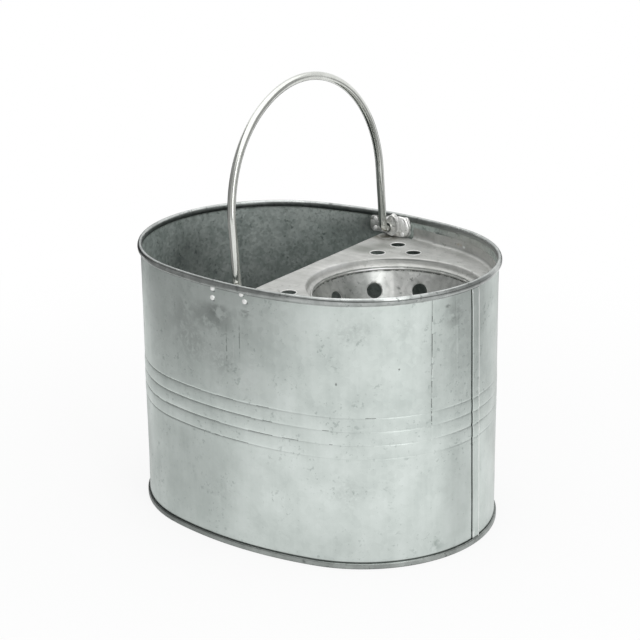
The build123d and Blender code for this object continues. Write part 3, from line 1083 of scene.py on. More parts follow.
ZONE_FINISHES = {
    Zone.OUTSIDE: WALL_FINISH,
    Zone.INSIDE: INSIDE_FINISH,
    Zone.SEAM: SEAM_GAP_SHADE_FINISH,
    Zone.RIM: RIM_FINISH,
    Zone.RIDGE: WORN_AND_HIGHLIGHT_FINISH,
    Zone.RIM_INSIDE: RIM_SHADE_FINISH,
    Zone.CREASE: CREASE_SHADE_FINISH,
}


@dataclass(frozen=True)
class Arc:
    """One run of the oval, anticlockwise about the middle of its circle.

    Attributes:
        centre: Middle of its circle.
        radius: Outside radius of the wall.
        start: Angle where it starts.
        sweep: Angle that it covers.
        pitch: Distance between two columns of faces along it.
    """

    centre: Vector
    radius: float
    start: float
    sweep: float
    pitch: float

    @property
    def steps(self) -> int:
        """Number of columns of faces along the run."""
        return max(1, round(self.radius * self.sweep / self.pitch))

    def first(self, offset: float, height: float) -> Vector:
        """Point where the run starts, at an offset from the wall and a height."""
        return self.centre + direction(self.start) * (self.radius + offset) + UP * height


@dataclass(frozen=True)
class Spot:
    """Where a point lies on the oval.

    Attributes:
        normal: Direction out of the wall.
        offset: Distance outside the wall.
        along: Distance along the wringer end from its tip, or None elsewhere.
    """

    normal: Vector
    offset: float
    along: float | None


@dataclass(frozen=True)
class Oval:
    """Outline of the bucket over its wall: two long sides and two round ends, each one arc.

    Attributes:
        half_length: Half the length.
        half_width: Half the width.
        side_radius: Radius of the long sides.
        pitch: Distance between two columns of faces.
        fine_pitch: The same where the wringer end has fine detail.
        fine: Angles between which the wringer end is fine.
        halvings: Number of halvings in a search along a line.
    """

    half_length: float = 161.9 * MM
    half_width: float = 120.9 * MM
    side_radius: float = 313.2 * MM
    pitch: float = 3.0 * MM
    fine_pitch: float = 0.35 * MM
    fine: tuple[Span, ...] = ((-27.8, -24.8), (-13.4, -11.4), (-7.0, 7.0))
    halvings: int = 48

    @property
    def end_radius(self) -> float:
        """Radius of the round ends."""
        excess = 2 * self.side_radius * self.half_width - self.half_length**2 - self.half_width**2
        return excess / (2 * (self.side_radius - self.half_length))

    @property
    def end_centre(self) -> float:
        """Distance of a round end's middle from the oval's middle."""
        return self.half_length - self.end_radius

    @property
    def side_centre(self) -> float:
        """Distance of a long side's middle from the oval's middle."""
        return self.side_radius - self.half_width

    @property
    def end_half_angle(self) -> float:
        """Half the angle that a round end covers."""
        return math.atan2(self.side_centre, self.end_centre)

    def arcs(self, detailed: bool) -> list[Arc]:
        """The runs of the oval, from the near corner of the wringer end.

        Args:
            detailed: Whether the fine runs of the wringer end are kept apart.

        Returns:
            The runs, in order.
        """
        half = self.end_half_angle
        side = math.pi - 2 * half
        bounds = [-half, half]
        if detailed:
            bounds += [math.radians(angle) for pair in self.fine for angle in pair]
        bounds.sort()
        fine_starts = {round(math.radians(pair[0]), 6) for pair in self.fine}
        end = Vector((self.end_centre, 0.0, 0.0))
        flank = Vector((0.0, self.side_centre, 0.0))
        runs = []
        for start, stop in zip(bounds, bounds[1:]):
            pitch = self.fine_pitch if round(start, 6) in fine_starts else self.pitch
            runs.append(Arc(end, self.end_radius, start, stop - start, pitch))
        runs.append(Arc(-flank, self.side_radius, half, side, self.pitch))
        runs.append(Arc(-end, self.end_radius, math.pi - half, 2 * half, self.pitch))
        runs.append(Arc(flank, self.side_radius, math.pi + half, side, self.pitch))
        return runs

    def sweep(self, bm: Mesh, section: Section, closed: bool, detailed: bool = False) -> None:
        """Carry a section once round the oval.

        Args:
            bm: The mesh that is drawn in.
            section: Offsets from the wall and heights.
            closed: Whether the section is a closed loop.
            detailed: Whether the wringer end gets its fine columns.
        """
        runs = self.arcs(detailed)
        line = chain(bm, [runs[0].first(offset, height) for offset, height in section], closed)
        for run in runs:
            line = turn(bm, line, run.centre, UP, run.sweep, run.steps)
        closed_up(bm)

    def spot(self, place: Vector) -> Spot:
        """Where a point lies on the oval.

        Args:
            place: The point.

        Returns:
            Where it lies.
        """
        end = math.copysign(self.end_centre, place.x)
        arm = Vector((place.x - end, place.y, 0.0))
        angle = math.atan2(abs(arm.y), abs(arm.x))
        if abs(place.x) > self.end_centre and angle <= self.end_half_angle:
            along = self.end_radius * math.atan2(arm.y, arm.x) if place.x > 0 else None
            return Spot(arm.normalized(), arm.length - self.end_radius, along)
        arm = Vector((place.x, place.y + math.copysign(self.side_centre, place.y), 0.0))
        if abs(place.x) > self.end_centre:
            wide = Vector((place.x - end, place.y, 0.0))
            if wide.length - self.end_radius > arm.length - self.side_radius:
                along = self.end_radius * math.atan2(wide.y, wide.x) if place.x > 0 else None
                return Spot(wide.normalized(), wide.length - self.end_radius, along)
        return Spot(arm.normalized(), arm.length - self.side_radius, None)

    def reach(self, start: Vector, angle: float, offset: float) -> float:
        """Distance from a point inside to the line at an offset from the wall.

        Args:
            start: The point inside.
            angle: Direction.
            offset: Offset of the line from the wall.

        Returns:
            The distance.
        """
        way = direction(angle)
        low, high = 0.0, 4.0 * self.half_length
        for _ in range(self.halvings):
            middle = (low + high) / 2
            if self.spot(start + way * middle).offset < offset:
                low = middle
            else:
                high = middle
        return low


@dataclass
class Piece:
    """What a finished piece stands for.

    Attributes:
        made: The object.
        finishes: Its materials, in the order of its faces' numbers.
        body: The body that it rides on.
        slot: The record's material slot that it belongs to. It is not used.
        nodes: The nodes that it replaces.
    """

    made: Item
    finishes: tuple[bpy.types.Material, ...]
    body: Body
    slot: Slot
    nodes: tuple[str, ...]

    def place(self) -> None:
        """Dress the piece and set it in its nodes' place."""
        slots = self.made.data.materials
        for number, finish in enumerate(self.finishes):
            if number < len(slots):
                slots[number] = finish
            else:
                slots.append(finish)
        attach(self.made, self.body.value)
        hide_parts(*self.nodes)
        LOG.info("%s: %d faces, for %s", self.made.name, len(self.made.data.polygons), ", ".join(self.nodes))


@dataclass
class WallSheet:
    """The body sheet: wall, swaged beads, lock seam at the wringer end and rolled rim."""

    oval: Oval
    sheet: float = 0.8 * MM
    bottom: float = 0.9 * MM
    top: float = 235.5 * MM
    row: float = 5.0 * MM
    plain_below: float = 3.2 * MM
    crisp: float = 38.0
    roll_radius: float = 2.15 * MM
    roll_half_height: float = 3.3 * MM
    roll_inset: float = 0.9 * MM
    roll_slit: float = 0.35 * MM
    roll_steps: int = 26
    slit_depth: float = 1.0 * MM
    shadow: float = 0.8 * MM
    inside_facing: float = -0.5
    rim_inside_facing: float = -0.88
    bead_count: int = 3
    bead_pitch: float = 11.9 * MM
    bead_proud: float = 0.26 * MM
    bead_bottom: float = 98.3 * MM
    bead_worn: float = 0.45
    bead_worn_x: float = 60.0 * MM
    bead_worn_reach: float = 90.0 * MM
    groove_depth: float = 0.20 * MM
    groove_reach: float = 0.65 * MM
    groove_rows: tuple[float, ...] = (0.0, 0.25, 0.5, 0.8, 1.2, 2.0, 3.4)
    crease_half: float = 0.2 * MM
    crease_dash: float = 14.0 * MM
    crease_seed: float = 6.3
    crease_share: float = 0.45
    seam_half: float = 4.6 * MM
    seam_proud: float = 0.9 * MM
    seam_fall: Span = (0.6 * MM, 0.5 * MM)
    seam_slant: float = 6.5 * MM
    seam_middle: float = -2.2 * MM
    seam_lean: Span = (15.0 * MM, 48.0 * MM)
    seam_gap: float = 0.7 * MM
    seam_gap_depth: float = 0.6 * MM
    seam_gap_reach: float = 0.6
    seam_gap_dark: float = 0.75
    seam_gap_rise: Span = (-0.5, 0.3)
    ridge: float = 0.5 * MM
    ridge_inset: float = 0.9 * MM
    ridge_reach: float = 0.8 * MM
    ridge_half: float = 0.55 * MM
    under: float = 0.25 * MM
    under_out: float = 1.2 * MM
    under_reach: float = 0.6 * MM
    fold_along: float = -52.9 * MM
    fold_bottom: float = 118.0 * MM
    fold_depth: float = 0.25 * MM
    fold_reach: float = 0.45 * MM
    fold_half: float = 0.4 * MM
    faint_along: float = -25.0 * MM
    faint_bottom: float = 165.0 * MM
    faint_depth: float = 0.12 * MM
    faint_reach: float = 0.6 * MM
    fold_fade: Span = (25.0 * MM, 15.0 * MM)
    dot_length: float = 1.1 * MM
    dot_seed: float = 9.1
    dot_level: float = 0.06
    swell: float = 0.34 * MM
    swell_length: float = 75.0 * MM
    swell_seed: float = 3.1
    dimple: float = 0.11 * MM
    dimple_length: float = 22.0 * MM
    dimple_seed: float = 7.7
    stiff_foot: Span = (6.0 * MM, 40.0 * MM)
    stiff_rim: Span = (210.0 * MM, 225.0 * MM)
    under_rim: Span = (227.4 * MM, 228.8 * MM)
    outer_skin: Span = (-0.75, -0.25)
    end_rise: float = 1.5 * MM
    end_rise_from: float = 0.1
    end_rise_heights: Span = (0.5, 0.95)

    @property
    def roll_bottom(self) -> float:
        """Height of the roll's lower edge."""
        return self.top - 2 * self.roll_half_height

    def creases(self) -> list[float]:
        """Heights of the creases between the beads."""
        return [self.bead_bottom + self.bead_pitch * index for index in range(self.bead_count + 1)]

    def beaded(self, height: float) -> float:
        """Offset of the wall's outer face at a height: the beads and the creases between them.

        Args:
            height: The height.

        Returns:
            The offset.
        """
        band = (height - self.bead_bottom) / self.bead_pitch
        offset = 0.0
        if 0.0 < band < self.bead_count:
            offset = self.bead_proud * (1.0 - (2.0 * (band % 1.0) - 1.0) ** 2)
        grooves = [bell(height - crease, self.groove_reach) for crease in self.creases()]
        return offset - sum(self.groove_depth * groove for groove in grooves)

    def upright(self, top: float) -> Section:
        """Line up the wall to a height, with close rows at the beads.

        Args:
            top: The height.

        Returns:
            Offsets of 0 and heights.
        """
        creases = self.creases()
        count = round((top - self.bottom) / self.row)
        heights = [self.bottom + (top - self.bottom) * index / count for index in range(count + 1)]
        spread = self.groove_rows[-1] * MM
        heights = [value for value in heights if all(abs(value - crease) > spread for crease in creases)]
        for crease in creases:
            for away in self.groove_rows:
                heights += [crease + side.value * away * MM for side in Side]
        if self.roll_bottom - self.shadow < top:
            heights.append(self.roll_bottom - self.shadow)
        return [(0.0, height) for height in sorted(set(heights))]

    def section(self) -> Section:
        """Closed section of the wall with its rolled rim.

        Returns:
            Offsets from the wall and heights.
        """
        middle_z = self.top - self.roll_half_height
        middle = self.roll_radius - self.sheet - self.roll_inset
        first = -math.acos((self.roll_slit - middle) / self.roll_radius)
        last = 2 * math.pi - math.acos((-self.sheet - middle) / self.roll_radius)
        slit_top = middle_z + self.roll_half_height * math.sin(first) + self.slit_depth
        line = self.upright(slit_top)
        line.append((self.roll_slit, slit_top))
        for step in range(self.roll_steps + 1):
            angle = first + (last - first) * step / self.roll_steps
            height = middle_z + self.roll_half_height * math.sin(angle)
            line.append((middle + self.roll_radius * math.cos(angle), height))
        inner = self.upright(middle_z + self.roll_half_height * math.sin(last))
        return line + [(offset - self.sheet, height) for offset, height in reversed(inner[:-1])]

    def seam_height(self, across: float) -> float:
        """Height of the lock seam's outside over the wall, at a distance across it.

        Args:
            across: Distance from the seam's middle.

        Returns:
            The height.
        """
        near = across + self.seam_half
        far = across - self.seam_half
        low, high = (share * self.seam_gap for share in self.seam_gap_rise)
        inside, outside = self.seam_fall
        gap = -self.seam_gap_depth * bell(near + self.seam_gap, self.seam_gap_reach * self.seam_gap)
        fall = 1.0 - smooth_step(self.seam_half - inside, self.seam_half + outside, across)
        ridge = self.ridge * bell(far + self.ridge_inset, self.ridge_reach)
        lower = -self.under * bell(far - self.under_out, self.under_reach)
        return gap + (self.seam_proud + ridge) * smooth_step(low, high, near) * fall + lower

    def fold(self, along: float, height: float) -> float:
        """Depth of the two upright creases in the sheet beside the seam.

        Args:
            along: Distance along the wringer end from its tip.
            height: Height on the wall.

        Returns:
            The depth.
        """
        below, above = self.fold_fade
        main = self.fold_depth * bell(along - self.fold_along, self.fold_reach)
        main *= smooth_step(self.fold_bottom - below, self.fold_bottom + above, height)
        faint = self.faint_depth * bell(along - self.faint_along, self.faint_reach)
        faint *= smooth_step(self.faint_bottom - below, self.faint_bottom + above, height)
        return main + faint

    def zone(self, face: Face) -> Zone:
        """Which zone of the sheet a face lies in.

        Args:
            face: The face.

        Returns:
            Its zone.
        """
        middle = face.calc_center_median()
        spot = self.oval.spot(middle)
        facing = spot.normal.dot(face.normal)
        if middle.z > self.roll_bottom:
            return Zone.RIM_INSIDE if facing < self.rim_inside_facing else Zone.RIM
        if facing < self.inside_facing:
            return Zone.INSIDE
        # The row just below the roll, the dashed creases and the dotted fold get the crease finish: painted
        # shade.
        if middle.z > self.roll_bottom - self.shadow:
            return Zone.CREASE
        crease = min(abs(middle.z - height) for height in self.creases()) < self.crease_half
        fading = smooth_step(-self.bead_worn_x, 2 * self.bead_worn_x, middle.x) - self.crease_share
        if crease and ripple(middle, self.crease_dash, self.crease_seed) > fading:
            return Zone.CREASE
        if spot.along is None or middle.z < self.plain_below:
            return Zone.OUTSIDE
        fold = abs(spot.along - self.fold_along) < self.fold_half and middle.z > self.fold_bottom
        if fold and ripple(middle, self.dot_length, self.dot_seed) > self.dot_level:
            return Zone.CREASE
        # The seam's open gap gets painted shadow, and the ridge's rounded edge a painted highlight.
        if abs(spot.along + self.seam_half + self.seam_gap) < self.seam_gap_dark * self.seam_gap:
            return Zone.SEAM
        ridge = abs(spot.along - self.seam_half + self.ridge_inset) < self.ridge_half
        return Zone.RIDGE if ridge else Zone.OUTSIDE

    def relieve(self, vert: Vert) -> None:
        """Move a point of the wall: swells, small dimples, the crease and the seam.

        Args:
            vert: The point.
        """
        spot = self.oval.spot(vert.co)
        height = vert.co.z
        free = smooth_step(*self.stiff_foot, height) * (1.0 - smooth_step(*self.stiff_rim, height))
        shift = free * self.swell * ripple(vert.co, self.swell_length, self.swell_seed)
        shift += free * self.dimple * ripple(vert.co, self.dimple_length, self.dimple_seed)
        fading = self.bead_worn * bell(vert.co.x - self.bead_worn_x, self.bead_worn_reach)
        shift += (1.0 - fading) * self.beaded(height)
        if spot.along is not None:
            low, high = (share * self.sheet for share in self.outer_skin)
            below_rim = 1.0 - smooth_step(*self.under_rim, height)
            shift -= below_rim * self.fold(spot.along, height)
            shift += smooth_step(low, high, spot.offset) * below_rim * self.seam_height(spot.along)
        vert.co += spot.normal * shift
        if spot.along is not None:
            lean = self.seam_middle + self.seam_slant * (0.5 - height / self.top)
            lean *= 1.0 - smooth_step(*self.seam_lean, abs(spot.along))
            arm = vert.co - Vector((self.oval.end_centre, 0.0, height))
            vert.co += Matrix.Rotation(lean / arm.length, 3, "Z") @ arm - arm
        low, high = (share * self.top for share in self.end_rise_heights)
        length = self.oval.half_length
        rise = smooth_step(self.end_rise_from * length, length, vert.co.x)
        vert.co.z += self.end_rise * rise * smooth_step(low, high, height)

    def build(self) -> Piece:
        """Make the wall.

        Returns:
            The piece.
        """
        bm = bmesh.new()
        self.oval.sweep(bm, self.section(), closed=True, detailed=True)
        for face in bm.faces:
            face.material_index = self.zone(face).value
        for vert in bm.verts:
            self.relieve(vert)
        made = as_object(bm, "wall_sheet")
        shaded(made, math.radians(self.crisp))
        finishes = tuple(ZONE_FINISHES[zone].material() for zone in Zone)
        return Piece(made, finishes, Body.BUCKET, Slot.SHEET, ("body_wall",))


@dataclass
class FootPan:
    """The base pan: floor, and the edge that is folded round the wall as the foot."""

    oval: Oval
    sheet: float = 0.8 * MM
    height: float = 5.0 * MM
    proud: float = 1.9 * MM
    corner: float = 1.1 * MM
    corner_steps: int = 5
    inner: float = -1.65 * MM
    edge_gap: float = 0.30 * MM
    strip: float = 12.0 * MM
    panel_from: float = 9.0 * MM
    panel_slope: float = 2.4 * MM
    panel_rise: float = 0.7 * MM
    crisp: float = 40.0

    def rounded(self, across: float, height: float, first: float) -> Section:
        """Quarter round of the fold about a middle, anticlockwise from an angle.

        Args:
            across: Offset of the middle from the wall.
            height: Height of the middle.
            first: The angle.

        Returns:
            Offsets from the wall and heights.
        """
        line = []
        for step in range(self.corner_steps + 1):
            angle = first + math.pi / 2 * step / self.corner_steps
            line.append((across + self.corner * math.cos(angle), height + self.corner * math.sin(angle)))
        return line

    def section(self) -> Section:
        """Section of the fold, from the floor's underside round to its upper face.

        Returns:
            Offsets from the wall and heights.
        """
        under = self.height - self.sheet
        start = self.inner - self.strip
        outer = self.proud - self.corner
        line = [(start, under), (self.inner - self.sheet, under), (self.inner, under - self.sheet)]
        line += self.rounded(self.inner + self.corner, self.corner, math.pi)
        line += self.rounded(outer, self.corner, 1.5 * math.pi)
        line += self.rounded(outer, self.height - self.corner, 0.0)
        line += [(self.edge_gap, self.height), (self.edge_gap, under), (-self.sheet, under)]
        return line + [(-self.sheet, self.height), (start, self.height)]

    def build(self) -> Piece:
        """Make the pan.

        Returns:
            The piece.
        """
        bm = bmesh.new()
        self.oval.sweep(bm, self.section(), closed=False)
        loops = [edge for edge in bm.edges if edge.is_boundary]
        for face in bmesh.ops.holes_fill(bm, edges=loops, sides=0)["faces"]:
            for width in (self.panel_from, self.panel_slope):
                bmesh.ops.inset_region(bm, faces=[face], thickness=width, use_even_offset=True)
            bmesh.ops.translate(bm, verts=face.verts, vec=UP * self.panel_rise)
        closed_up(bm)
        made = as_object(bm, "foot_pan")
        shaded(made, math.radians(self.crisp))
        return Piece(made, (FLOOR_FINISH.material(),), Body.BUCKET, Slot.SHEET, ("base_pan",))


@dataclass
class WringerDeck:
    """The half-moon deck: plate, flange, folded straight edge, dished mouth and drain holes."""

    oval: Oval
    sheet: float = 0.8 * MM
    level: float = 215.2 * MM
    edge_x: float = -12.35 * MM
    mouth_x: float = 80.25 * MM
    mouth_radius: float = 69.5 * MM
    lip_width: float = 6.0 * MM
    lip_drop: float = 9.3 * MM
    lip_line: tuple[Span, ...] = (
        (0.10, 9.30), (-0.10, 9.00), (-0.20, 8.50), (-0.12, 8.05), (0.15, 7.65), (0.55, 7.30), (1.20, 6.85),
        (1.90, 6.35), (2.60, 5.85), (3.25, 5.30), (3.75, 4.65), (4.10, 3.85), (4.38, 2.95), (4.65, 2.05),
        (4.95, 1.25), (5.30, 0.65), (5.70, 0.25), (6.10, 0.06), (6.40, 0.0),
    )
    lap: float = 0.05 * MM
    flange_from: float = 21.15 * MM
    flange_height: float = 10.0 * MM
    flange_rows: tuple[float, ...] = (0.4, 0.8, 1.0)
    fold_radius: float = 3.6 * MM
    fold_steps: int = 5
    edge_fold: float = 10.0 * MM
    edge_round: float = 1.0 * MM
    edge_slack: float = 0.2 * MM
    edge_rows: int = 2
    rings: int = 18
    column: float = 2.0 * MM
    drain_radius: float = 6.5 * MM
    drain_spots: tuple[Span, ...] = ((90.5, 113.4), (90.5, 133.4), (112.5, 122.3))
    drill: float = 6.4 * MM
    burr: float = 0.5 * MM
    nub_angles: tuple[float, ...] = (119.0, 157.0, 88.0, 65.0, -174.0)
    nub_reach: float = 1.7 * MM
    nub_rise: float = 1.6 * MM
    nub_proud: float = 0.8 * MM
    crease: tuple[Span, Span] = ((-9.2, 53.3), (20.0, 46.5))
    crease_proud: float = 0.35 * MM
    crease_reach: float = 2.2 * MM
    crease_share: float = 0.6
    flat_within: Span = (0.2 * MM, 1.5 * MM)
    sag: float = 0.30 * MM
    sag_from: float = 14.0 * MM
    sag_length: float = 38.0 * MM
    sag_seed: float = 1.7
    crisp: float = 40.0

    @property
    def centre(self) -> Vector:
        """Middle of the mouth on the floor's plane."""
        return Vector((self.mouth_x, 0.0, 0.0))

    @property
    def edge_seat(self) -> float:
        """Offset of the plate's edge from the wall where it has no flange."""
        return -self.sheet - self.lap

    @property
    def fold_seat(self) -> float:
        """Offset from the wall of the line where the flange's fold starts."""
        return -2 * self.sheet - self.lap - self.fold_radius

    def corner_angles(self) -> Span:
        """Directions from the mouth to the flange's start and to the deck's straight corner.

        Returns:
            Both angles, in radians.
        """
        angles = []
        for place_x, offset in ((self.flange_from, self.fold_seat), (self.edge_x, self.edge_seat)):
            side = math.sqrt((self.oval.side_radius + offset) ** 2 - place_x**2) - self.oval.side_centre
            angles.append(math.atan2(side, place_x - self.mouth_x))
        return angles[0], angles[1]

    def outline(self, angle: float) -> float:
        """Distance from the mouth's middle to the plate's edge in a direction.

        Args:
            angle: The direction.

        Returns:
            The distance.
        """
        flange = self.corner_angles()[0]
        if abs(math.remainder(angle, 2 * math.pi)) <= flange + ANGLE_SLACK:
            return self.oval.reach(self.centre, angle, self.fold_seat)
        straight = (self.edge_x + self.edge_round - self.mouth_x) / math.cos(angle)
        return min(straight, self.oval.reach(self.centre, angle, self.edge_seat))

    def lip(self, bm: Mesh) -> None:
        """Spin the mouth's lip, with columns that meet the deck's corners.

        Args:
            bm: The mesh that is drawn in.
        """
        outer = self.mouth_radius + self.lip_width
        line = [(self.mouth_radius + inward * MM, self.level - drop * MM) for inward, drop in self.lip_line]
        flange, corner = self.corner_angles()
        bounds = [-flange, flange, corner, 2 * math.pi - corner, 2 * math.pi - flange]
        across = direction(-flange)
        rim = chain(bm, [self.centre + across * reach + UP * height for reach, height in line])
        for start, stop in zip(bounds, bounds[1:]):
            steps = max(2, round((stop - start) * outer / self.column))
            rim = turn(bm, rim, self.centre, UP, stop - start, steps)
        closed_up(bm)

    def angle_of(self, place: Vector) -> float:
        """Direction of a point from the mouth's middle."""
        return math.atan2(place.y, place.x - self.mouth_x)

    def plate(self, bm: Mesh) -> Geometry:
        """Draw the flat plate out from the lip, ring by ring, and hand back its edge.

        Args:
            bm: The mesh that holds the lip.

        Returns:
            Vertices and edges of the plate's edge.
        """
        above = self.level - MM
        line: Geometry = [edge for edge in bm.edges if edge.is_boundary and edge.verts[0].co.z > above]
        first = line[0].verts[0].co - self.centre
        inner = math.hypot(first.x, first.y)
        for ring in range(1, self.rings + 1):
            line = drawn_on(bm, line, Vector(), 1)
            for vert in verts_of(line):
                angle = self.angle_of(vert.co)
                reach = inner + (self.outline(angle) - inner) * ring / self.rings
                vert.co = self.centre + direction(angle) * reach + UP * self.level
        return line

    def flange(self, bm: Mesh, edge: Geometry) -> None:
        """Fold the plate's edge up the wall.

        Args:
            bm: The mesh that holds the plate.
            edge: The plate's edge.
        """
        limit = self.corner_angles()[0] + ANGLE_SLACK
        line: Geometry = [
            item for item in edges_of(edge)
            if all(abs(self.angle_of(vert.co)) <= limit for vert in item.verts)
        ]
        straight = self.flange_height - self.fold_radius
        steps = quarter(self.fold_radius, self.fold_steps)
        steps += [(self.fold_radius, self.fold_radius + straight * share) for share in self.flange_rows]
        done = (0.0, 0.0)
        for out, rise in steps:
            line = drawn_on(bm, line, UP * (rise - done[1]), 1)
            for vert in verts_of(line):
                vert.co += self.oval.spot(vert.co).normal * (out - done[0])
            done = (out, rise)

    def straight_edge(self, bm: Mesh, edge: Geometry) -> None:
        """Fold the plate's straight edge down.

        Args:
            bm: The mesh that holds the plate.
            edge: The plate's edge.
        """
        limit = self.edge_x + self.edge_round + self.edge_slack
        line: Geometry = [item for item in edges_of(edge) if all(vert.co.x < limit for vert in item.verts)]
        done = (0.0, 0.0)
        for now in quarter(self.edge_round, self.fold_steps):
            line = drawn_on(bm, line, Vector((done[0] - now[0], 0.0, done[1] - now[1])), 1)
            done = now
        drawn_on(bm, line, UP * (self.edge_round - self.edge_fold), self.edge_rows)

    def relieve(self, vert: Vert) -> None:
        """Move a point of the deck: a slight sag, the crease and the lip's weld nubs.

        Args:
            vert: The point.
        """
        arm = vert.co - self.centre
        arm.z = 0.0
        out = arm.normalized()
        flat = 1.0 - smooth_step(*self.flat_within, abs(vert.co.z - self.level))
        apart = smooth_step(0.0, self.sag_from, arm.length - self.mouth_radius - self.lip_width)
        vert.co.z += flat * apart * self.sag * ripple(vert.co, self.sag_length, self.sag_seed)
        first, last = (Vector((spot[0] * MM, spot[1] * MM, 0.0)) for spot in self.crease)
        way = last - first
        place = Vector((vert.co.x, vert.co.y, 0.0)) - first
        share = place.dot(way) / way.length_squared
        beside = bell((place - way * share).length, self.crease_reach)
        vert.co.z += flat * self.crease_proud * beside * bell(share - 0.5, self.crease_share)
        if vert.co.z < self.level - self.lip_drop / 2:
            for angle in self.nub_angles:
                turned = math.remainder(self.angle_of(vert.co) - math.radians(angle), 2 * math.pi)
                below = vert.co.z - (self.level - self.lip_drop + self.nub_rise)
                away = math.hypot(self.mouth_radius * abs(turned), below)
                vert.co -= out * self.nub_proud * bell(away, self.nub_reach)

    def drains(self) -> list[Matrix]:
        """Places of the drain holes.

        Returns:
            The place of each hole.
        """
        spots = []
        for reach, angle in self.drain_spots:
            for side in Side:
                out = direction(math.radians(side.value * angle))
                spots.append(Matrix.Translation(self.centre + out * reach * MM + UP * self.level))
        return spots

    def build(self) -> Piece:
        """Make the deck.

        Returns:
            The piece.
        """
        bm = bmesh.new()
        self.lip(bm)
        edge = self.plate(bm)
        self.flange(bm, edge)
        self.straight_edge(bm, edge)
        closed_up(bm)
        for vert in bm.verts:
            self.relieve(vert)
        bm.normal_update()
        if sum(face.normal.z * face.calc_area() for face in bm.faces) < 0:
            bmesh.ops.reverse_faces(bm, faces=bm.faces)
        made = thickened(as_object(bm, "deck_sheet"), self.sheet)
        drilled(made, drills(self.drains(), self.drain_radius, self.drill))
        softened(made)
        for face in made.data.polygons:
            if face.center.z > self.level + 2 * self.sheet:
                face.material_index = 0
        rimmed(made, self.drains(), self.drain_radius, self.burr)
        shaded(made, math.radians(self.crisp))
        finishes = (DECK_FINISH.material(), WORN_AND_HIGHLIGHT_FINISH.material())
        return Piece(made, finishes, Body.BUCKET, Slot.SHEET, ("wringer_deck",))


